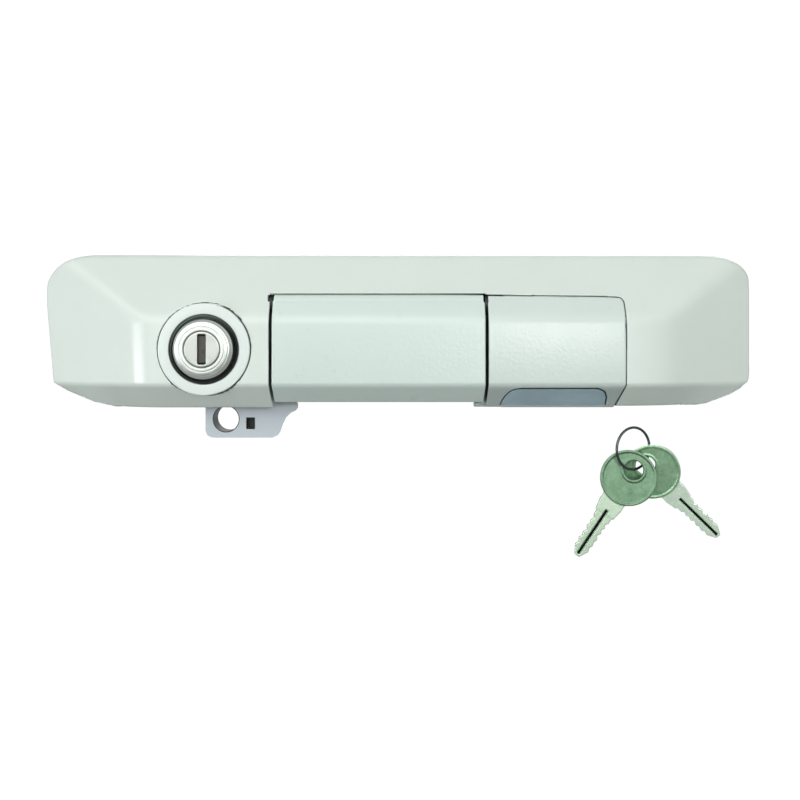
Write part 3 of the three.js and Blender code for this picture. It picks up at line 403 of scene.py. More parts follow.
def edge_shading_group():
    """Node group that smooths faces and keeps edges over the given angle sharp."""
    group = bpy.data.node_groups.new("edge_shading", "GeometryNodeTree")
    geometry = dict(socket_type="NodeSocketGeometry")
    group.interface.new_socket("Geometry", in_out="INPUT", **geometry)
    limit = group.interface.new_socket("Angle", in_out="INPUT", socket_type="NodeSocketFloat")
    limit.default_value = math.radians(36)
    group.interface.new_socket("Geometry", in_out="OUTPUT", **geometry)
    tree = Tree(group)
    given = tree.node("NodeGroupInput").outputs
    angle = tree.node("GeometryNodeInputMeshEdgeAngle").outputs["Unsigned Angle"]
    sharp = tree.node(
        "FunctionNodeCompare", angle, given["Angle"], data_type="FLOAT", operation="GREATER_THAN"
    ).outputs[0]
    smooth = tree.node("FunctionNodeBooleanMath", sharp, operation="NOT").outputs[0]
    kind = "GeometryNodeSetShadeSmooth"
    faces = tree.node(kind, domain="FACE", Geometry=given["Geometry"]).outputs["Geometry"]
    edges = tree.node(kind, domain="EDGE", Geometry=faces, **{"Shade Smooth": smooth})
    tree.node("NodeGroupOutput", edges.outputs["Geometry"])
    return group


EDGE_SHADING = edge_shading_group()


# ------------------------------------------------------------------ modifiers and turned shapes
def modifier(o, name, kind, **settings):
    m = o.modifiers.new(name, kind)
    for key, value in settings.items():
        setattr(m, key, value)
    return m


def shade_edges(o, degrees):
    m = modifier(o, "edge_shading", "NODES", node_group=EDGE_SHADING)
    items = EDGE_SHADING.interface.items_tree
    angle_input = next(s.identifier for s in items if s.name == "Angle")
    m[angle_input] = math.radians(degrees)


def dress(o, width, degrees=34):
    """Joins flat triangles, breaks the edges and shades a carried-over CAD node."""
    modifier(o, "flat_faces", "DECIMATE", decimate_type="DISSOLVE", angle_limit=math.radians(0.6))
    modifier(
        o, "broken_edges", "BEVEL", width=width * MM, segments=2, limit_method="ANGLE",
        angle_limit=math.radians(degrees), harden_normals=False, use_clamp_overlap=True,
    )
    shade_edges(o, degrees)
    modifier(o, "weighted", "WEIGHTED_NORMAL", keep_sharp=True)


def face_outward(o, weld=False):
    bm = bmesh.new()
    bm.from_mesh(o.data)
    if weld:
        bmesh.ops.remove_doubles(bm, verts=bm.verts, dist=1e-7)
        bmesh.ops.dissolve_degenerate(bm, edges=bm.edges, dist=1e-8)
    bmesh.ops.recalc_face_normals(bm, faces=bm.faces)
    bm.to_mesh(o.data)
    bm.free()


def lathe(name, profile, segments, radius):
    """Closed profile of (radius, y), corners rounded, turned about the lock's axis along Y."""
    profile = rounded(profile, radius, 4)
    n = len(profile)
    vertices, faces = [], []
    for i in range(segments):
        a = 2 * math.pi * i / segments
        for r, y in profile:
            vertices.append((LOCK_X + r * math.cos(a), y, LOCK_Z + r * math.sin(a)))
        j = (i + 1) % segments
        for k in range(n):
            m = (k + 1) % n
            faces.append((i * n + k, i * n + m, j * n + m, j * n + k))
    area = sum(
        profile[k][0] * profile[(k + 1) % n][1] - profile[(k + 1) % n][0] * profile[k][1]
        for k in range(n)
    )
    # the winding follows the way round the profile runs
    if area > 0:
        faces = [face[::-1] for face in faces]
    o = make(name, vertices, faces)
    face_outward(o, weld=True)
    shade_edges(o, 30)
    return o


BOX_FACES = [(0, 1, 3, 2), (4, 6, 7, 5), (0, 4, 5, 1), (2, 3, 7, 6), (0, 2, 6, 4), (1, 5, 7, 3)]


def notch(o, x_span, y_span, z_span):
    """Takes a square slot out of a closed mesh, ahead of its other modifiers."""
    corners = [(x, y, z) for x in x_span for y in y_span for z in z_span]
    tool = make("slot_tool", corners, BOX_FACES, smooth=False)
    m = modifier(o, "slot_cut", "BOOLEAN", operation="DIFFERENCE", solver="EXACT", object=tool)
    o.modifiers.move(len(o.modifiers) - 1, 0)
    with bpy.context.temp_override(object=o, active_object=o, selected_objects=[o]):
        bpy.ops.object.modifier_apply(modifier=m.name)
    me = tool.data
    bpy.data.objects.remove(tool)
    bpy.data.meshes.remove(me)


def sweep(name, path, radius, sides, closed=False):
    """Round wire along a list of points; an open one has capped ends. It starts across Y."""
    path = np.array(path, float)
    n = len(path)
    if closed:
        tangents = np.roll(path, -1, 0) - np.roll(path, 1, 0)
    else:
        tangents = np.gradient(path, axis=0)
    tangents /= np.linalg.norm(tangents, axis=1, keepdims=True)
    u = np.cross(tangents[0], [0.0, 1.0, 0.0])
    u /= np.linalg.norm(u)
    vertices, faces = [], []
    for point, tangent in zip(path, tangents):
        u = u - tangent * (u @ tangent)
        u /= np.linalg.norm(u)
        w = np.cross(tangent, u)
        for k in range(sides):
            a = 2 * math.pi * k / sides
            vertices.append(point + radius * (math.cos(a) * u + math.sin(a) * w))
    for i in range(n if closed else n - 1):
        j = (i + 1) % n
        for k in range(sides):
            m = (k + 1) % sides
            faces.append((i * sides + k, i * sides + m, j * sides + m, j * sides + k))
    if not closed:
        faces.append(tuple(range(sides))[::-1])
        faces.append(tuple((n - 1) * sides + k for k in range(sides)))
    o = make(name, vertices, faces)
    face_outward(o)
    return o


def smooth_path(points, samples):
    """Catmull-Rom curve through the points."""
    p = np.array(points, float)
    p = np.vstack([2 * p[0] - p[1], p, 2 * p[-1] - p[-2]])
    spans = len(p) - 3
    out = []
    for i in range(samples):
        t = i / (samples - 1) * spans
        k = min(int(t), spans - 1)
        t -= k
        a, b, c, d = p[k : k + 4]
        square = (2 * a - 5 * b + 4 * c - d) * t * t
        cube = (3 * b - a - 3 * c + d) * t**3
        out.append(0.5 * (2 * b + (c - a) * t + square + cube))
    return out


# ------------------------------------------------------------------ materials
BLACK, WHITE = (0, 0, 0), (1, 1, 1)
MID = (0.3, 0.7)  # the part of a noise's range that is spread out
FALL = (1, 0)
SHADER_INPUTS = {
    "color": "Base Color", "metal": "Metallic", "rough": "Roughness", "normal": "Normal",
    "coat": "Coat Weight", "coat_rough": "Coat Roughness", "coat_normal": "Coat Normal",
    "ior": "IOR", "spec": "Specular IOR Level",
}


def srgb(*channels):
    return tuple(
        c / 255 / 12.92 if c <= 10.31 else ((c / 255 + 0.055) / 1.055) ** 2.4 for c in channels
    )


def tint(rgb, k):
    return tuple(min(1.0, c * k) for c in rgb)


class Surface(Tree):
    """A material being built. Texture scales are per metre of object space."""

    def __init__(self, name):
        self.name = name
        self.data = bpy.data.materials.new(name)
        self.data.use_nodes = True
        super().__init__(self.data.node_tree)
        self.shader = self.tree.nodes["Principled BSDF"]
        self.place = self.node("ShaderNodeTexCoord").outputs["Object"]

    def set(self, **inputs):
        for key, value in inputs.items():
            self.put(self.shader.inputs[SHADER_INPUTS[key]], value)
        return self

    def mapped(self, scale, loc=(0, 0, 0), rot=(0, 0, 0)):
        return self.node(
            "ShaderNodeMapping", Scale=scale, Location=loc, Rotation=rot, Vector=self.place
        ).outputs["Vector"]

    def noise(self, scale, detail=3.0, rough=0.55, vec=None):
        return self.node(
            "ShaderNodeTexNoise", Scale=scale, Detail=detail, Roughness=rough,
            Vector=self.place if vec is None else vec,
        ).outputs["Fac"]

    def voronoi(self, scale, feature="F1", vec=None):
        return self.node(
            "ShaderNodeTexVoronoi", Scale=scale, feature=feature,
            Vector=self.place if vec is None else vec,
        ).outputs["Distance"]

    def vector(self, operation, *values, result="Vector", **inputs):
        node = self.node("ShaderNodeVectorMath", *values, operation=operation, **inputs)
        return node.outputs[result]

    def bump(self, height, strength, distance, under=None):
        node = self.node("ShaderNodeBump", Strength=strength, Distance=distance, Height=height)
        if under is not None:
            self.put(node.inputs["Normal"], under)
        return node.outputs["Normal"]

    def mix(self, factor, a, b, blend="MIX"):
        node = self.node("ShaderNodeMix", data_type="RGBA", blend_type=blend, Factor=factor)
        self.put(node.inputs[6], a)
        self.put(node.inputs[7], b)
        return node.outputs[2]

    def tints(self, fac, rgb, dark, light, at=MID):
        """Spreads a colour between a darker and a lighter tint of itself."""
        return self.ramp(fac, [(at[0], tint(rgb, dark)), (at[1], tint(rgb, light))])

    def specks(self, fac, size):
        return self.ramp(fac, [(0.0, WHITE), (size, BLACK)])

    def scratches(self, scale, size):
        stretched = self.mapped((1, 3.5, 1.3), rot=(0.4, 0.9, 0.3))
        return self.specks(self.voronoi(scale, "DISTANCE_TO_EDGE", stretched), size)

    def painted_cavity_shade(self, color, distance, span, low):
        """Painted shade: darkens gaps and pockets by ambient occlusion."""
        hidden = self.node("ShaderNodeAmbientOcclusion", Distance=distance, samples=8)
        light = self.remap(hidden.outputs["AO"], span, to=(low, 1.0))
        return self.mix(1.0, color, light, "MULTIPLY")

    def from_point(self, x, y, z):
        """Object position from a point, in mm."""
        point = (x * MM, y * MM, (z - ORIGIN) * MM)
        return self.vector("SCALE", self.vector("SUBTRACT", self.place, point), Scale=1000.0)

    def offset(self, x, z):
        """Object position from the line through (x, z) along Y, in mm as three values."""
        return self.node("ShaderNodeSeparateXYZ", self.from_point(x, 0, z)).outputs

    def radius(self, u, v):
        squares = self.math("ADD", self.math("MULTIPLY", u, u), self.math("MULTIPLY", v, v))
        return self.math("SQRT", squares, 0.0)

    def size(self, value):
        return self.math("ABSOLUTE", value, 0.0)

    def shade(self, mask, rgb):
        """Turns the base colour toward rgb where the mask is 1."""
        base = self.shader.inputs["Base Color"].links[0].from_socket
        return self.set(color=self.mix(mask, base, rgb))


def paint(name, rgb, rough, peel, coat=0.35):
    m = Surface(name)
    color = m.tints(m.noise(scale=38, detail=4, rough=0.6), rgb, dark=0.982, light=1.012)
    # painted highlight: sharp edges of the shell a little lighter
    pointiness = m.node("ShaderNodeNewGeometry").outputs["Pointiness"]
    edge = m.remap(pointiness, span=(0.5, 0.56), to=(0.0, 0.35))
    color = m.mix(edge, color, tint(rgb, 1.06))
    # painted shade in the gaps and pockets of the paint
    color = m.painted_cavity_shade(color, distance=0.007, span=(0.12, 0.72), low=0.10)
    # orange peel, then a few pinhead dust nibs
    peeled = m.bump(m.noise(scale=760, detail=2, rough=0.5), strength=peel, distance=0.00008)
    nibs = m.specks(m.voronoi(scale=310), size=0.045)
    normal = m.bump(nibs, strength=0.10, distance=0.00004, under=peeled)
    cloud = m.noise(scale=150, detail=4, rough=0.6)
    fine = m.noise(scale=2600, detail=2, rough=0.6)
    roughness = m.math(
        "ADD",
        m.remap(cloud, MID, to=(rough - 0.03, rough + 0.05)),
        m.remap(fine, MID, to=(-0.012, 0.012)),
    )
    return m.set(
        color=color, rough=roughness, normal=normal, coat=coat, coat_rough=0.2,
        coat_normal=normal, ior=1.5,
    )


def carrier(name, rgb):
    """Painted carrier plate, with painted shade inside the round hole and the square pocket of its
    tab.
    """
    m = paint(name, rgb, rough=0.38, peel=0.2, coat=0.2)
    # painted shade inside the round hole
    hole = m.offset(-79.2, -40.7)
    r = m.radius(hole[0], hole[2])
    m.shade(m.remap(r, span=(6.15, 6.3), to=FALL), (0.007, 0.010, 0.012))
    # painted shade inside the square pocket
    pocket = m.offset(-67.9, -42.65)
    wide = m.remap(m.size(pocket[0]), span=(2.0, 2.1), to=FALL)
    high = m.remap(m.size(pocket[2]), span=(2.65, 2.75), to=FALL)
    return m.shade(m.math("MULTIPLY", wide, high), (0.006, 0.007, 0.009))


def low_shaded_paint(name, rgb, low, chin=0.0):
    """Paint with painted shade toward the lower edge, by low, and under the chin line, by chin."""
    m = paint(name, rgb, rough=0.30, peel=0.7)
    z = m.offset(0, 0)[2]
    # painted shade, darker toward the bottom
    m.shade(m.math("MULTIPLY", m.remap(z, span=(-24, 8), to=FALL), low), tint(rgb, 0.1))
    if chin:
        # painted shade under the chin line, tinted blue
        under = m.remap(z, span=(CHIN_Z - 2.2, CHIN_Z), to=FALL)
        m.shade(m.math("MULTIPLY", under, chin), (0.07, 0.15, 0.20))
    return m


def well_shade(name):
    """Painted shade: dark ring in the lock's recess, painted lighter toward its upper and left
    side as if lit.
    """
    m = Surface(name)
    place = m.offset(LOCK_X, LOCK_Z)
    up, side = m.math("MULTIPLY", place[2], 0.062), m.math("MULTIPLY", place[0], -0.024)
    grain = m.noise(scale=1300)
    light = m.math("ADD", m.math("ADD", up, side), m.math("MULTIPLY", grain, 0.05))
    color = m.ramp(light, [(0.05, (0.004, 0.005, 0.006)), (0.95, (0.10, 0.135, 0.12))])
    return m.set(color=color, rough=0.6, normal=m.bump(grain, strength=0.2, distance=0.00005))


def plug_metal(name):
    """Brass plug, with painted shade over its front end, where it shows in the keyway."""
    m = Surface(name)
    y = m.offset(LOCK_X, LOCK_Z)[1]
    grain = m.noise(scale=900, detail=4, rough=0.6)
    m.set(
        color=m.ramp(grain, [(0.3, (0.70, 0.53, 0.24)), (0.7, (0.82, 0.64, 0.30))]),
        metal=1.0,
        rough=m.remap(grain, MID, to=(0.27, 0.4)),
        normal=m.bump(grain, strength=0.2, distance=0.00003),
    )
    # painted shade over the front end
    return m.shade(m.remap(y, span=(-24.0, -22.0), to=FALL), (0.035, 0.035, 0.032))


def key_metal(name, origin, turn, bow, blade):
    """Nickel silver key: etched bow, bright blade, milled groove drawn near black and not
    metallic.
    """
    m = Surface(name)
    place = m.from_point(*origin)
    x, z = (
        m.vector("DOT_PRODUCT", place, tuple(map(float, turn[:, i])), result="Value")
        for i in (0, 2)
    )
    cloud = m.noise(scale=260, detail=5, rough=0.65)
    etch = m.noise(scale=900, detail=4, rough=0.7)
    base = m.tints(cloud, blade, dark=0.88, light=1.06)
    both = m.math("ADD", m.math("MULTIPLY", cloud, 0.6), m.math("MULTIPLY", etch, 0.4))
    field = m.tints(both, bow, dark=0.72, light=1.30, at=(0.32, 0.68))
    in_bow = m.remap(m.radius(x, z), span=(12.3, 12.9), to=FALL)
    color = m.mix(in_bow, base, field)
    # painted shade in the key's crevices
    m.set(color=m.painted_cavity_shade(color, distance=0.0018, span=(0.25, 0.8), low=0.15))
    ends = m.math(
        "MULTIPLY",
        m.remap(z, span=(-17.8, -17.2), to=FALL),
        m.remap(z, span=(-41.4, -41.0)),
    )
    groove = m.math("MULTIPLY", m.remap(m.size(x), span=(0.52, 0.66), to=FALL), ends)
    # the milled groove drawn near black
    m.shade(groove, (0.004, 0.008, 0.005))
    bare = m.remap(groove, to=FALL)
    etched = m.bump(m.math("MULTIPLY", etch, in_bow), strength=0.5, distance=0.00008)
    scratch = m.scratches(scale=150, size=0.012)
    return m.set(
        metal=m.math("MULTIPLY", m.remap(in_bow, to=(0.45, 1.0)), bare),
        spec=m.math("MULTIPLY", bare, 0.5),
        rough=m.remap(in_bow, to=(0.26, 0.42)),
        normal=m.bump(scratch, strength=0.15, distance=0.00003, under=etched),
    )


def plastic(name, rgb, rough, grain, scale):
    m = Surface(name)
    color = m.tints(m.noise(scale=60, detail=4, rough=0.6), rgb, dark=0.9, light=1.1)
    cells = m.voronoi(scale, "SMOOTH_F1")
    leather = m.math("ADD", cells, m.noise(scale=scale * 1.7, detail=2))
    return m.set(
        color=color,
        rough=m.remap(m.noise(scale=260), MID, to=(rough - 0.07, rough + 0.07)),
        normal=m.bump(leather, strength=grain, distance=0.00006),
    )


def metal(name, rgb, rough, streak, relief=0.25, spots=0.0, spot_rgb=None):
    """Plated or drawn metal; streak is the noise scale along each axis."""
    m = Surface(name)
    lines = m.noise(scale=1.0, detail=3, rough=0.6, vec=m.mapped(streak))
    cloud = m.noise(scale=130, detail=5, rough=0.6)
    color = m.tints(cloud, rgb, dark=0.86, light=1.08, at=(0.25, 0.75))
    lined = m.remap(lines, span=(0.35, 0.65), to=(0.0, 0.35))
    color = m.mix(lined, color, tint(rgb, 0.72))
    if spots:
        blotches = m.noise(scale=420, detail=6, rough=0.7)
        spotted = m.ramp(blotches, [(0.58, BLACK), (0.66, WHITE)])
        color = m.mix(m.remap(spotted, to=(0, spots)), color, spot_rgb or tint(rgb, 0.5))
    scratch = m.scratches(scale=90, size=0.006)
    drawn = m.bump(lines, strength=relief, distance=0.00003)
    return m.set(
        color=color,
        metal=1.0,
        rough=m.remap(cloud, MID, to=(rough - 0.06, rough + 0.08)),
        normal=m.bump(scratch, strength=0.12, distance=0.00003, under=drawn),
    )


def turned_metal(name, rgb, pitch=1500.0, relief=0.2, rough=0.36):
    """Plated metal with turning marks round the lock's axis."""
    m = Surface(name)
    flat = m.mapped((1, 0, 1), loc=(-LOCK_X * MM, 0, -(LOCK_Z - ORIGIN) * MM))
    radius = m.vector("LENGTH", flat, result="Value")
    along = m.node("ShaderNodeCombineXYZ", radius).outputs[0]
    rings = m.noise(scale=pitch, detail=4, rough=0.7, vec=along)
    cloud = m.noise(scale=160, detail=4, rough=0.6)
    color = m.tints(cloud, rgb, dark=0.92, light=1.05)
    ringed = m.remap(rings, span=(0.35, 0.65), to=(0.0, 0.25))
    return m.set(
        color=m.mix(ringed, color, tint(rgb, 0.8)),
        metal=1.0,
        rough=m.remap(cloud, MID, to=(rough - 0.05, rough + 0.06)),
        normal=m.bump(rings, strength=relief, distance=0.00003),
    )


def foam(name):
    m = Surface(name)
    cells = m.voronoi(scale=1900)
    color = m.ramp(cells, [(0.1, (0.012, 0.012, 0.013)), (0.7, (0.05, 0.05, 0.052))])
    normal = m.bump(cells, strength=0.8, distance=0.00015)
    return m.set(color=color, rough=0.92, normal=normal, spec=0.25)


SURFACES = [
    paint("bezel_paint", srgb(217, 227, 219), rough=0.31, peel=0.4),
    # the lock ring's paint is a lighter copy of the bezel's: painted highlight
    paint("ring_paint", srgb(225, 234, 229), rough=0.31, peel=0.3),
    low_shaded_paint("paddle_paint", srgb(213, 227, 220), low=0.07),
    # the cover's paint is a darker copy of the bezel's: painted shade
    low_shaded_paint("cover_paint", srgb(211, 223, 216), low=0.10, chin=0.27),
    # the carrier's paint is a darker copy of the bezel's: painted shade on the tab
    carrier("carrier_paint", srgb(196, 205, 210)),
    plastic("plug_grey_plastic", srgb(163, 187, 196), rough=0.42, grain=0.18, scale=900),
    foam("foam"),
    plastic("black_plastic", (0.018, 0.019, 0.020), rough=0.52, grain=0.45, scale=1300),
    well_shade("well_painted_shade"),
    metal("pin_steel", (0.56, 0.57, 0.58), rough=0.28, streak=(30, 2600, 2600)),
    metal("ring_steel", (0.10, 0.115, 0.11), rough=0.25, streak=(300, 300, 300), relief=0.15),
    metal("spring_steel", (0.45, 0.45, 0.46), rough=0.33, streak=(700, 700, 700), relief=0.2),
    metal("zinc_screw", (0.66, 0.68, 0.70), rough=0.30, streak=(500, 500, 500), spots=0.25),
    metal("zinc_plate", (0.63, 0.62, 0.54), rough=0.36, streak=(900, 60, 120), spots=0.4,
          spot_rgb=(0.55, 0.48, 0.30)),
    plastic("clip_nylon", (0.03, 0.17, 0.07), rough=0.45, grain=0.3, scale=1100),
    turned_metal("lock_nickel", (0.67, 0.70, 0.665)),
    # plug_nickel is a darker copy of the lock's nickel: painted shade on the plug's face
    turned_metal("plug_nickel", (0.52, 0.54, 0.51), pitch=2600, relief=0.25),
    metal("shutter_steel", (0.085, 0.083, 0.075), rough=0.42, streak=(60, 60, 2500), spots=0.6,
          spot_rgb=(0.02, 0.02, 0.018)),
    plug_metal("lock_brass"),
    metal("key_nickel", (0.42, 0.56, 0.42), rough=0.30, streak=(60, 60, 60), relief=0.15,
          spots=0.25),
]
MATERIALS = {surface.name: surface.data for surface in SURFACES}

replaced = set()  # CAD nodes that get a new mesh


def finish_piece(o, body, slot, node=None, material=None):
    o.data.materials.clear()
    o.data.materials.append(MATERIALS[material or slot])
    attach(o, body)
    if node:
        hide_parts(node)
        replaced.add(node)


# ------------------------------------------------------------------ bezel
def top_corner(middle_x, middle_z, start, steps):
    """Quarter ellipse that reaches the bezel's side and top; start is in degrees."""
    wide, high = HALF_WIDTH - abs(middle_x), TOP_Z - middle_z
    angles = [math.radians(start + 90 * i / steps) for i in range(steps + 1)]
    return [(middle_x + wide * math.cos(a), middle_z + high * math.sin(a)) for a in angles]


OUTLINE = (
    top_corner(137.0, 23.1, start=0, steps=14)
    + top_corner(-136.6, 19.2, start=90, steps=16)
    + rounded(
        [(-HALF_WIDTH, 12), *FOOT[:4], (-57, BOTTOM_LEFT_Z), (101, BOTTOM_RIGHT_Z), *FOOT[4:8],
         (160.2, -23.0), (HALF_WIDTH, -20)],
        [0, 2.5, 4, 8, 6, 0, 0, 5, 5, 6, 4, 2.5, 0],
    )
)
# opening for the paddle and the camera cover, running out through the bottom
OPENING = rounded(
    [(OPENING_LEFT, -BEYOND), (OPENING_LOW_RIGHT, -BEYOND), (OPENING_LOW_RIGHT, -36),
     (OPENING_RIGHT, CHIN_Z), (OPENING_RIGHT, 14.75), (39, OPENING_TOP + 0.5),
     (OPENING_LEFT, OPENING_TOP + 0.1)],
    [0, 0, 0, 4, 3.6, 0, 0.3], 6,
)


def bezel_field(x, y, z):
    outline, opening = poly(x, z, OUTLINE), poly(x, z, OPENING)
    hinge_r = np.hypot(y - HINGE_Y, z - HINGE_Z)
    body = smax(above(x, y, z), outline, 1.1 + 1.3 * np.clip((z - 18) / 8, 0, 1))
    body = smax(body, y - RIM_Y, 0.4)
    body = cut(body, smax(above(x, y, z, WALL, INNER_CHIN_Z), outline + 2.4, 2.0), 0.5)

    # bosses and webs behind the skin, and a block left of the opening
    core = above(x, y, z, 1.0)
    extra = posts(x, y, z, BOSSES, 3.4, (-BEYOND, 1.2))
    extra = np.minimum(extra, posts(x, y, z, PAN_BOSSES, 3.2, (-BEYOND, -4.8)))
    extra = np.minimum(extra, posts(x, y, z, EARS, 3.4, (-BEYOND, -14.3)))
    extra = np.minimum(extra, posts(x, y, z, STUDS, 6.0, (-BEYOND, RIM_Y)))
    for stud_x, stud_z in STUDS:
        across = box2(x, z, about(stud_x, 14), about(stud_z, 0.7))
        upright = box2(x, z, about(stud_x, 0.7), about(stud_z, 12))
        extra = np.minimum(extra, smax(np.minimum(across, upright), y + 7.0, 0.4))
    block = box3(x, y, z, (-60.6, -56.7), (-BEYOND, -4), (5.8, 19.5), 0.6)
    extra = np.minimum(extra, block)
    body = smin(body, smax(extra, core, 0.4), 0.7)

    # returned flanges round the opening
    skirt = smax(cut(opening - 1.9, opening + 0.3), y + 10.2, 0.4)
    skirt = smax(smax(skirt, outline + 1.0, 0.4), core, 0.4)
    skirt = cut(skirt, box2(x, z, (-56.7, 46.2), (12.0, BEYOND)))
    body = cut(smin(body, skirt, 0.6), opening)

    # hinge ear, in two steps
    low_ear = box3(x, y, z, HINGE_EAR_X, (-BEYOND, -4), (5.8, 19), 0.5)
    high_ear = box3(x, y, z, HINGE_EAR_X, (-BEYOND, -4), (16.2, 24), 0.5)
    ear = np.minimum(smax(low_ear, above(x, y, z, 2.9), 0.4), smax(high_ear, core, 0.4))
    body = smin(body, ear, 0.4)

    # clearance for the paddle's hinge barrel and its left end
    trough = smax(hinge_r - (HINGE_BARREL_R + 0.22), slab(x, OPENING_LEFT - 0.01, 38.85), 0.2)
    body = cut(body, trough, 0.25)
    left = (OPENING_LEFT - 1.0, OPENING_LEFT + 2)
    body = cut(body, box3(x, y, z, left, (-30, -7.8), (12.6, 15.5), 0.2))
    body = cut(body, smax(hinge_r - 4.35, slab(x, -57.95, OPENING_LEFT), 0.2))

    # bores for the lock ring, the hinge pin, the bosses, the ears and the studs
    lock_r = np.hypot(x - LOCK_X, z - LOCK_Z)
    body = cut(body, smax(lock_r - (RING_R + 0.27), y + 13.9, 0.3), 0.4)
    body = cut(body, smax(hinge_r - PIN_BORE_R, slab(x, -63, 50), 0.3))
    body = drill(body, x, y, z, BOSSES, 1.35, (-9, 6))
    body = drill(body, x, y, z, PAN_BOSSES, 1.35, (-13, 3))
    body = drill(body, x, y, z, EARS, 1.15, (-17.2, 3))
    return drill(body, x, y, z, STUDS, 3.2, (-11.2, 6))


bezel = solid(
    "bezel_shell", bezel_field,
    grade(-162, 162, coarse=1.9, fine=0.5, width=1.6, marks=[
        -160.5, 160.5, (LOCK_X - 21, LOCK_X - 19.7), (LOCK_X + 19.7, LOCK_X + 21), OPENING_LEFT,
        38.9, HINGE_EAR_X, OPENING_RIGHT, OPENING_LOW_RIGHT, -50, 31, -130, 130]),
    grade(-27, 2.4, coarse=0.75, fine=0.5, width=1.0, marks=[RIM_Y]),
    grade(-35.6, 35.6, coarse=0.9, fine=0.5, width=1.4, marks=[
        -34.2, 34.2, OPENING_TOP + 0.3, CHIN_Z, -29.3, 12.4]),
)
finish_piece(bezel, "bezel_frame", "bezel_paint", "bezel")


# ------------------------------------------------------------------ rim gasket
GASKET_GAP_X = (OPENING_LEFT - 1.5, OPENING_RIGHT + 1.5)


def gasket_field(x, y, z):
    outline = poly(x, z, OUTLINE)
    body = smax(cut(outline + 1.0, outline + 4.6, 0.5), slab(y, RIM_Y + 0.03, -0.02), 0.5)
    return cut(body, box2(x, z, GASKET_GAP_X, (-BEYOND, 0)), 0.5)


gasket = solid(
    "gasket", gasket_field,
    grade(-162, 162, coarse=2.4, fine=0.5, width=1.2, marks=[-160, -156, 160, 156, *GASKET_GAP_X]),
    np.linspace(-1.7, 0.2, 8),
    grade(-35, 35, coarse=1.6, fine=0.5, width=1.0, marks=[-33.5, -29.8, 33.4, 29.8]),
)
finish_piece(gasket, "bezel_frame", "foam", "rim_gasket")


# ------------------------------------------------------------------ lift paddle
def paddle_field(x, y, z):
    top = above(x, y, z)
    hinge_r = np.hypot(y - HINGE_Y, z - HINGE_Z)
    width = (PADDLE_LEFT, PADDLE_RIGHT)

    # the slab stops at a plane through the hinge, square to the top facet
    along = ((y - HINGE_Y) * TOP_SLOPE + (z - HINGE_Z)) / math.hypot(1, TOP_SLOPE)
    body = smax(top, box2(x, z, width, (PADDLE_BOTTOM, HINGE_Z + 9), 0.2), 0.8)
    body = smax(body, along - 0.3, 0.3)
    lead = math.radians(12)
    past = (HINGE_Y - y) * math.sin(lead) - (z - HINGE_Z) * math.cos(lead)
    body = cut(body, smax(past, HINGE_BARREL_R + 0.1 - hinge_r, 0.1), 0.15)

    inner = (PADDLE_LEFT + PADDLE_WALL, PADDLE_RIGHT - PADDLE_WALL)
    room = box2(x, z, inner, (-BEYOND, HINGE_Z + 6))
    body = cut(body, smax(above(x, y, z, WALL, INNER_CHIN_Z), room, 1.0), 0.5)
    body = smax(body, y + 9.2, 0.6)

    barrel = smax(hinge_r - HINGE_BARREL_R, slab(x, *width), 0.7)
    body = smin(body, smax(barrel, top, 0.3), 0.5)
    lugs = posts(x, y, z, LUGS, 3.0, (-40, -20.9))
    body = smin(body, smax(lugs, above(x, y, z, 0.9), 0.3), 0.6)

    # pin bore and the room for the spring
    body = cut(body, hinge_r - PIN_BORE_R)
    body = cut(body, smax(hinge_r - 3.25, slab(x, *SPRING_X), 0.3))
    body = cut(body, box3(x, y, z, SPRING_X, (HINGE_Y, 3), (4, 14.5)))
    leg = box3(x, y, z, (-46, SPRING_X[1]), (HINGE_Y - 6, 3), (4, HINGE_Z))
    body = cut(body, smax(leg, above(x, y, z, 1.5), 0.3))

    # notches at the ends, then pockets in the back of the barrel
    left, right = (PADDLE_LEFT - 4, PADDLE_LEFT + 0.3), (PADDLE_RIGHT - 0.5, PADDLE_RIGHT + 4)
    body = cut(body, box3(x, y, z, left, (-22, -9), (12.9, 19), 0.2), 0.2)
    body = cut(body, box3(x, y, z, right, (-22, -9), (12.2, 19), 0.2), 0.2)
    for span in PADDLE_POCKETS_X:
        body = cut(body, box3(x, y, z, span, (HINGE_Y + 1.8, 3), (5, 20), 0.5), 0.5)
    return cut(body, posts(x, y, z, LUGS, 1.2, (-22.8, -15)))


paddle = solid(
    "paddle_shell", paddle_field,
    grade(PADDLE_LEFT - 1, PADDLE_RIGHT + 1, coarse=1.6, fine=0.42, width=1.2, marks=[
        PADDLE_LEFT, PADDLE_LEFT + PADDLE_WALL, PADDLE_RIGHT, PADDLE_RIGHT - PADDLE_WALL,
        -53, -46, -43, -38, -21, 4, 33, (-17, 0)]),
    grade(-27, -7.6, coarse=0.75, fine=0.45, width=1.0, marks=[-9.2]),
    grade(-33.4, 18.4, coarse=0.9, fine=0.42, width=1.2, marks=[
        PADDLE_BOTTOM, CHIN_Z, (8, 16.8)]),
)
finish_piece(paddle, "paddle", "bezel_paint", "lift_paddle", "paddle_paint")

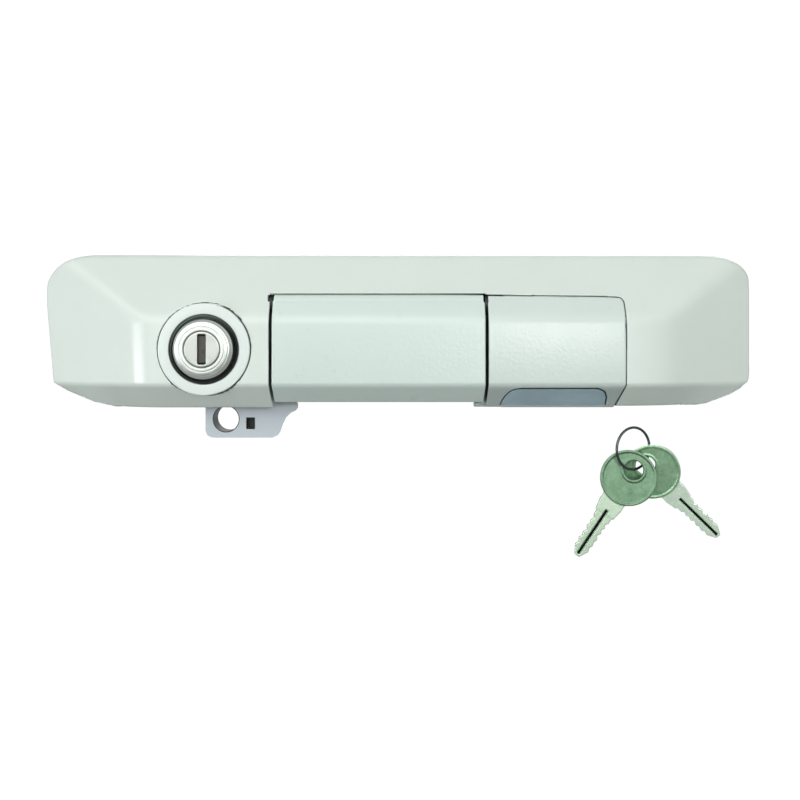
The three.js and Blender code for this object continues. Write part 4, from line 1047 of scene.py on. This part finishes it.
# ------------------------------------------------------------------ camera cover
# (x, z) outlines with a rounding radius for each corner
PORT = rounded(
    [(45.3, -44), (93.5, -44), (93.5, -34), (92.9, -29.6), (91.3, -26.8), (87.8, -25.3),
     (53.6, -25.3), (50.6, -25.9), (48.8, -27.0), (47.2, -28.9), (46.1, -31.2), (45.4, -34.4)],
    [0, 0, 2, 3, 2.5, 3, 3, 3, 3, 3, 3, 2], 4,
)
COVER = rounded(
    [(COVER_LEFT, COVER_BOTTOM), (COVER_RIGHT - 2.1, COVER_BOTTOM), (COVER_RIGHT, CHIN_Z + 0.2),
     (COVER_RIGHT, 14.3), (COVER_LEFT, OPENING_TOP - 0.05)],
    [0.3, 0.3, 4, 3.0, 0.3], 6,
)
STEP_X = 46.65  # where the flange steps up and the front ledge starts
FLANGE = rounded(
    [(40.2, -31.0), (99.6, -31.0), (101.6, -24.5), (101.6, 16.8), (STEP_X, 17.9),
     (STEP_X, 10.6), (40.2, 10.6)],
    [0, 1.5, 2, 3.5, 0.6, 0, 0],
)
LIP = rounded([(34.2, -34.5), (97.6, -34.5), (97.6, -32.4), (34.2, -32.4)], 0.7, 4)


def cover_field(x, y, z):
    top = above(x, y, z, crown=CROWN)
    edge = poly(x, z, COVER)
    body = smax(top, edge, 0.55)
    ledge = smax(smax(top + 0.4, edge - 0.32, 0.2), STEP_X - x, 0.2)
    body = np.minimum(body, ledge)
    room = box2(x, z, (COVER_LEFT + 2.2, COVER_RIGHT - 2.0), (-BEYOND, BEYOND))
    body = cut(body, smax(above(x, y, z, WALL + 0.3, INNER_CHIN_Z), room, 1.0), 0.5)
    body = smax(body, y + 7.6, 0.6)
    bosses = posts(x, y, z, COVER_BOSSES, 3.2, (-BEYOND, -4.8))
    body = smin(body, smax(bosses, above(x, y, z, 1.4), 0.3), 0.7)

    # lip and rib along the bottom
    body = smin(body, smax(poly(x, z, LIP), slab(y, -8.4, -5.2), 0.5), 0.4)
    rib = box3(x, y, z, (40.5, 96.4), (-8.4, -7.0), (-34.2, -31), 0.3)
    body = smin(body, rib, 0.4)

    body = cut(body, smax(poly(x, z, PORT), y + 9.2, 0.3), 0.5)
    body = cut(body, posts(x, y, z, COVER_BOSSES, 1.35, (-13, 3)))

    # clearance at the upper left for the hinge ear, the pin and the paddle's end
    body = cut(body, box3(x, y, z, (36, 39.75), (-22, 4), (12.2, 18), 0.1), 0.1)
    body = cut(body, box3(x, y, z, (36, 41.9), (-9.8, 4), (12.0, 18), 0.2), 0.2)
    pocket = box3(x, y, z, (42.2, 48.4), (-40, 4), (5.2, 24), 0.2)
    body = cut(body, smax(pocket, above(x, y, z, 2.3), 0.3))
    hinge_r = np.hypot(y - HINGE_Y, z - HINGE_Z)
    body = cut(body, smax(hinge_r - 2.0, slab(x, 36, 48), 0.3))
    body = cut(body, smax(hinge_r - 3.4, slab(x, 46.9, 48.0), 0.2))
    end = smax(smax(hinge_r - 4.3, slab(x, 36, 42.3), 0.2), top + 1.1, 0.2)
    body = cut(body, end)

    # rear flange that laps behind the opening and behind the paddle's right wall
    ring = cut(poly(x, z, FLANGE), box2(x, z, (0, 96.5), (-BEYOND, 11.8), 2.0), 0.4)
    lap = smax(ring, slab(y, -9.4, -7.6), 0.3)
    tongue = box3(x, y, z, (36.6, 40.0), (-8.9, -7.6), (-33.4, 11.6), 0.3)
    return smin(body, np.minimum(lap, tongue), 0.3)


cover = solid(
    "cover_shell", cover_field,
    grade(33.4, 102.4, coarse=1.5, fine=0.42, width=1.1, marks=[
        34.2, COVER_LEFT, COVER_LEFT + 2.2, COVER_RIGHT - 2.0, COVER_RIGHT, 101.6,
        (42, 48.8), (46, 54), (90, 94)]),
    grade(-27, -4.2, coarse=0.75, fine=0.42, width=0.6, marks=[(-9.6, -4.8)]),
    grade(-35.4, 19.2, coarse=0.9, fine=0.42, width=0.8, marks=[
        (-34.6, -30.8), -25.3, CHIN_Z, (10.6, 17.9)]),
)
finish_piece(cover, "bezel_frame", "bezel_paint", "camera_cover", "cover_paint")


# ------------------------------------------------------------------ camera port plug
def port_field(x, y, z):
    skin = cut(above(x, y, z, 0.7), above(x, y, z, 2.9), 0.5)
    body = smax(skin, poly(x, z, PORT) + 0.45, 0.6)
    body = smax(body, y + 9.6, 0.4)
    body = smax(body, -33.9 - z, 0.4)
    stem = box3(x, y, z, (60, 80), (-30, -12.2), (-31.4, -27.6), 0.5)
    return smin(body, smax(stem, above(x, y, z, 1.4), 0.3), 0.5)


port = solid(
    "port_blank", port_field,
    grade(45, 94.5, coarse=1.3, fine=0.4, width=0.8, marks=[(46, 53), (88, 94), 60, 80]),
    grade(-25, -9, coarse=0.5, fine=0.4, width=0.8, marks=[-9.6]),
    grade(-34.6, -24.6, coarse=0.45, fine=0.4, width=0.8, marks=[-25.5]),
)
finish_piece(port, "bezel_frame", "plug_grey_plastic", "camera_port_plug")

# ------------------------------------------------------------------ lock
# the profiles are (radius, y)
HOUSING_PROFILE = [
    (11.2, -4), (14.6, -4), (14.6, -13.9), (RING_R, -13.9), (RING_R, -26.6),
    (RECESS_R, -26.6), (RECESS_R, -21), (11.2, -21),
]
WELL_PROFILE = [
    (13.1, -21.08), (15.08, -21.08), (15.08, -25.4), (14.3, -25.4), (14.3, -22.0), (13.1, -22.0),
]
BARREL_PROFILE = [
    (7.2, 1.2), (11.0, 1.2), (11.0, -2.4), (9.8, -2.4), (9.8, -3.8), (11.0, -3.8),
    (11.0, -21.2), (12.95, -21.2), (12.95, -28.6), (12.35, -29.1), (12.35, -30.2),
    (11.75, -30.75), (11.2, -30.85), (11.0, -31.3), (10.1, -31.45), (9.95, -31.2),
    (9.5, -31.2), (9.35, -31.6), (8.3, -31.6), (7.95, -31.2), (7.95, -27.2), (7.2, -27.2),
]
SLOT_Y = (-24.2, -5.6)


def housing_ears(x, y, z):
    body = FAR
    for ear_x, ear_z in EARS:
        length = math.hypot(ear_x - LOCK_X, ear_z - LOCK_Z)
        u, w = (ear_x - LOCK_X) / length, (ear_z - LOCK_Z) / length
        along = (x - LOCK_X) * u + (z - LOCK_Z) * w
        across = -(x - LOCK_X) * w + (z - LOCK_Z) * u
        bar = smax(np.abs(across) - 3.4, slab(along, 13.6, length), 0.3)
        body = np.minimum(body, smin(bar, np.hypot(x - ear_x, z - ear_z) - 3.4, 0.2))
    body = smax(body, slab(y, -14, -12), 0.5)
    for ear_x, ear_z in EARS:
        body = cut(body, np.hypot(x - ear_x, z - ear_z) - 1.5)
    return body


housing = lathe("housing_ring", HOUSING_PROFILE, segments=128, radius=0.7)
ears = solid(
    "housing_ears", housing_ears,
    grade(-109.5, -68, coarse=0.6, fine=0.5, marks=[0]),
    np.linspace(-14.6, -11.4, 9),
    grade(-27.5, 18.2, coarse=0.6, fine=0.5, marks=[0]),
)
finish_piece(ears, "bezel_frame", "bezel_paint")
finish_piece(housing, "bezel_frame", "bezel_paint", "lock_housing", "ring_paint")

# a dark ring in the lock's recess stands in for the shade there
if "lock_well_ring" in NODES:
    well = lathe("well_ring", WELL_PROFILE, segments=128, radius=0.2)
    finish_piece(well, "bezel_frame", "black_plastic", "lock_well_ring", "well_painted_shade")

lock_barrel = lathe("barrel_turned", BARREL_PROFILE, segments=144, radius=0.16)
# the two crossed slots the wafers drop into
for half_x, half_z in ((3.7, 9.3), (9.3, 3.7)):
    notch(lock_barrel, about(LOCK_X, half_x), SLOT_Y, about(LOCK_Z, half_z))
finish_piece(lock_barrel, "bezel_frame", "lock_nickel", "lock_barrel")


def cap_field(x, y, z):
    disc = smax(np.hypot(x - LOCK_X, z - LOCK_Z) - PLUG_R, slab(y, -31.45, -30.55), 0.7)
    return cut(disc, box2(x, z, about(LOCK_X, 1.8), about(LOCK_Z, 6.5), 0.7), 0.35)


cap_grid = grade(-8.6, 8.6, coarse=0.34, fine=0.26, marks=[])
cap = solid(
    "cap_disc", cap_field, LOCK_X + cap_grid, np.linspace(-31.8, -30.2, 10), LOCK_Z + cap_grid
)
finish_piece(cap, "plug", "lock_nickel", "plug_face_cap", "plug_nickel")

# ------------------------------------------------------------------ keys
KEY_HALF_THICK = 1.05
KEY_RIM_LIFT = 0.25
# (x, z) outlines from the middle of the bow, blade down
BLADE = [
    (-3.9, -19.5), (-3.9, -22.4), (-2.9, -23.6), (-3.7, -25.2), (-3.0, -26.6), (-3.8, -28.2),
    (-2.6, -29.8), (-3.6, -31.4), (-3.0, -33), (-3.7, -34.8), (-2.8, -36.4), (-3.5, -38),
    (-1.2, -42.2), (1.2, -42.2), (3.5, -38), (2.8, -36.2), (3.7, -34.6), (3.1, -33),
    (3.8, -31.2), (2.7, -29.6), (3.7, -28.0), (2.9, -26.4), (3.8, -25), (3.0, -23.6),
    (3.9, -22.4), (3.9, -19.5),
]
NECK = [(-5.2, -10), (-5.6, -14.5), (-4.6, -19.8), (4.6, -19.8), (5.6, -14.5), (5.2, -10)]


def key_field(x, y, z):
    bow_r, hole_r = np.hypot(x, z), np.hypot(x, z - 4.2)
    face = np.abs(y) - KEY_HALF_THICK
    raised = face - KEY_RIM_LIFT
    flat = smin(bow_r - 12.6, poly(x, z, NECK), 1.2)
    flat = smin(flat, poly(x, z, BLADE), 0.3)
    body = smax(flat, face, 0.45)
    # raised rims round the bow and its hole
    body = smin(body, smax(np.abs(bow_r - 12.0) - 0.6, raised, 0.4), 0.25)
    body = smin(body, smax(hole_r - 5.6, raised, 0.4), 0.3)
    body = cut(body, hole_r - 4.4, 0.4)
    groove = box2(x, z, (-0.85, 0.85), (-41, -17.5), 0.4)
    return cut(body, smax(groove, KEY_HALF_THICK - 0.7 - np.abs(y), 0.25), 0.25)


def key_turn(lean, angle):
    """Lean about Z, then the angle about Y, in degrees."""
    a, b = math.radians(lean), math.radians(angle)
    about_z = np.array([[math.cos(a), -math.sin(a), 0], [math.sin(a), math.cos(a), 0], [0, 0, 1]])
    about_y = np.array([[math.cos(b), 0, math.sin(b)], [0, 1, 0], [-math.sin(b), 0, math.cos(b)]])
    return about_y @ about_z


KEY_GRID = (
    grade(-13.2, 13.2, coarse=0.45, fine=0.3, width=0.6, marks=[(-4, 4), -12.3, 12.3]),
    np.linspace(-1.7, 1.7, 15),
    grade(-42.9, 13.2, coarse=0.45, fine=0.34, width=0.6, marks=[(-42, -19), 12.3, -0.2, 8.6]),
)
# side, bow's middle (x, y, z), lean, angle, bow colour, blade colour
# the left key's colours are darker copies of the right key's: painted shade
KEYS = [
    ("left", (104.3716, -6.6, -66.7486), -6, 33.8, (0.155, 0.255, 0.165), (0.56, 0.70, 0.54)),
    ("right", (115.9381, -3.0, -64.2896), -14, -45.8, (0.34, 0.55, 0.35), (0.76, 0.92, 0.75)),
]
for side, middle, lean, angle, bow_rgb, blade_rgb in KEYS:
    turn = key_turn(lean, angle)
    key = solid("key_%s_blank" % side, key_field, *KEY_GRID, turn=(turn, np.array(middle)))
    surface_name = "key_nickel_" + side
    MATERIALS[surface_name] = key_metal(surface_name, middle, turn, bow_rgb, blade_rgb).data
    finish_piece(key, side + "_key", "key_nickel", "key_" + side, surface_name)

# ------------------------------------------------------------------ key ring
KEY_RING_MIDDLE = (106.5574, -6.6, -53.4517)
KEY_RING_R = 9.5
KEY_RING_TILT = math.radians(28)
KEY_RING_STEPS = 120

ring_path = []
for i in range(KEY_RING_STEPS):
    a = 2 * math.pi * i / KEY_RING_STEPS
    ring_path.append((
        KEY_RING_MIDDLE[0] + KEY_RING_R * math.cos(a) * math.cos(KEY_RING_TILT),
        KEY_RING_MIDDLE[1] + KEY_RING_R * math.cos(a) * math.sin(KEY_RING_TILT),
        KEY_RING_MIDDLE[2] + KEY_RING_R * math.sin(a),
    ))
key_ring = sweep("wire_ring", ring_path, radius=0.6, sides=14, closed=True)
finish_piece(key_ring, "ring", "pin_steel", "key_ring", "ring_steel")

# ------------------------------------------------------------------ paddle spring
# a coil on the pin, with a leg on the carrier and a leg on the paddle
COIL_X, COIL_LENGTH, COIL_R = -51.6, 7.2, 2.5
TURNS, TURN_STEPS = 5, 16

coil = [(-51.8, 0.98, 3.4), (-51.8, 0.9, 5.4), (-51.8, HINGE_Y + 6, HINGE_Z - 2.9)]
for i in range(TURNS * TURN_STEPS + 1):
    a = -math.pi / 2 + i / TURN_STEPS * 2 * math.pi
    coil.append((
        COIL_X + i / (TURNS * TURN_STEPS) * COIL_LENGTH,
        HINGE_Y + COIL_R * math.cos(a),
        HINGE_Z + COIL_R * math.sin(a),
    ))
coil += [(-44.2, HINGE_Y - 4.4, HINGE_Z - 3.8), (-44.2, HINGE_Y - 6.3, HINGE_Z - 8.8)]
spring = sweep("spring_coil", smooth_path(coil, samples=260), radius=0.42, sides=10)
spring.data.materials.append(MATERIALS["spring_steel"])
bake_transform(spring)
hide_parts("paddle_spring")
replaced.add("paddle_spring")

# ------------------------------------------------------------------ carried-over CAD nodes
SMALL_BREAK, BREAK = 0.12, 0.3  # bevel widths
slot_of = {part["node"]: part["material_slot"] for part in frame["record"]["subparts"]}
for name, o in NODES.items():
    if name in replaced:
        continue
    if not len(o.data.materials):
        o.data.materials.append(None)
    for i in range(len(o.data.materials)):
        o.data.materials[i] = MATERIALS[slot_of[name]]
    small = "screw" in name or "wafer" in name or name in ("shutter_pin", "dust_shutter")
    dress(o, SMALL_BREAK if small else BREAK)

# ------------------------------------------------------------------ floor, in metres
FLOOR_Z = -0.1085 - ORIGIN * MM
floor_mesh = bpy.data.meshes.new("floor")
floor_corners = [(x, y, FLOOR_Z) for x, y in ((-4, -4), (4, -4), (4, 4), (-4, 4))]
floor_mesh.from_pydata(floor_corners, [], [(0, 1, 2, 3)])
floor = link_object("floor", floor_mesh)


def floor_surface():
    """Grey to light bounced off it, near white to the camera."""
    m = Surface("floor_pale")
    cloud = m.noise(scale=3)
    m.set(color=m.ramp(cloud, [(0.3, (0.40, 0.41, 0.41)), (0.7, (0.44, 0.44, 0.44))]), rough=0.85)
    glow = m.node("ShaderNodeEmission", Strength=1.03).outputs[0]
    pale = m.node("ShaderNodeBsdfDiffuse", Color=(0.9, 0.9, 0.9)).outputs[0]
    seen = m.mix_shader(0.965, pale, glow)
    camera_ray = m.node("ShaderNodeLightPath").outputs["Is Camera Ray"]
    shader = m.mix_shader(camera_ray, m.shader.outputs[0], seen)
    m.put(m.tree.nodes["Material Output"].inputs["Surface"], shader)
    return m.data


floor.data.materials.append(floor_surface())


# ------------------------------------------------------------------ world
def build_world():
    world = bpy.data.worlds.new("studio")
    bpy.context.scene.world = world
    world.use_nodes = True
    w = Tree(world.node_tree)
    w.tree.nodes.clear()
    direction = w.node("ShaderNodeTexCoord").outputs["Generated"]
    axes = w.node("ShaderNodeSeparateXYZ", direction).outputs

    # white behind everything the camera sees
    seen = w.node("ShaderNodeBackground", Color=WHITE, Strength=1.05).outputs[0]

    # soft light, dim below and bright above
    sky = w.ramp(w.remap(axes["Z"], span=(-1, 1)), [
        (0.0, (0.16, 0.18, 0.18)), (0.45, (0.36, 0.39, 0.39)),
        (0.62, (0.74, 0.77, 0.76)), (1.0, (0.88, 0.93, 0.92)),
    ])
    lit = w.node("ShaderNodeBackground", Color=sky, Strength=0.60).outputs[0]

    # what polished metal sees: a bright room in front, dimmer behind and below
    forward = w.math("MULTIPLY", axes["Y"], -1.0)
    front = w.remap(forward, span=(-0.25, 1.0), to=(0.42, 1.15))
    below = w.remap(axes["Z"], span=(-0.45, 0.1), to=(0.25, 1.0))
    strength = w.math("MULTIPLY", front, below)
    gloss = w.node("ShaderNodeBackground", Color=(0.97, 1.0, 0.98), Strength=strength).outputs[0]

    ray = w.node("ShaderNodeLightPath").outputs
    light = w.mix_shader(ray["Is Glossy Ray"], lit, gloss)
    w.node("ShaderNodeOutputWorld", w.mix_shader(ray["Is Camera Ray"], light, seen))


build_world()


# ------------------------------------------------------------------ lights and camera, in metres
def area(name, loc, target, size, power, color=(1, 1, 1)):
    data = bpy.data.lights.new(name, "AREA")
    data.shape = "RECTANGLE"
    data.size, data.size_y = size
    data.energy = power
    data.color = color
    o = link_object(name, data)
    loc = (loc[0], loc[1], loc[2] - ORIGIN * MM)
    target = (target[0], target[1], target[2] - ORIGIN * MM)
    o.location = loc
    o.rotation_mode = "QUATERNION"
    o.rotation_quaternion = (Vector(target) - Vector(loc)).to_track_quat("-Z", "Y")


area("key_softbox", loc=(-0.40, -1.15, 0.62), target=(0, 0, 0), size=(1.3, 0.8), power=6.5)
area("fill_softbox", loc=(0.75, -0.95, 0.25), target=(0.05, 0, 0), size=(0.7, 0.9), power=1.95)
area("back_softbox", loc=(0.2, 1.1, 0.8), target=(0, 0, 0), size=(1.2, 0.8), power=6)
area("low_strip", loc=(-0.75, -0.62, -0.06), target=(-0.12, 0, -0.03), size=(0.3, 0.12),
     power=1.7, color=(0.97, 0.98, 1.03))
area("glint_right", loc=(0.29, -1.5, 0.165), target=(0.07, -0.025, 0), size=(0.24, 0.12),
     power=2.2)
area("glint_left", loc=(-0.51, -1.5, 0.05), target=(-0.12, -0.025, 0), size=(0.14, 0.2),
     power=0.6)

camera_data = bpy.data.cameras.new("camera")
camera_data.lens = 47.03
camera_data.sensor_width = 36
camera_data.shift_x = 0.0025
camera_data.shift_y = -0.0731
camera = link_object("camera", camera_data)
camera.location = (0, -0.480, -0.005 - ORIGIN * MM)
camera.rotation_euler = (math.radians(90), 0, 0)
bpy.context.scene.camera = camera
bpy.context.scene.view_settings.view_transform = "Standard"
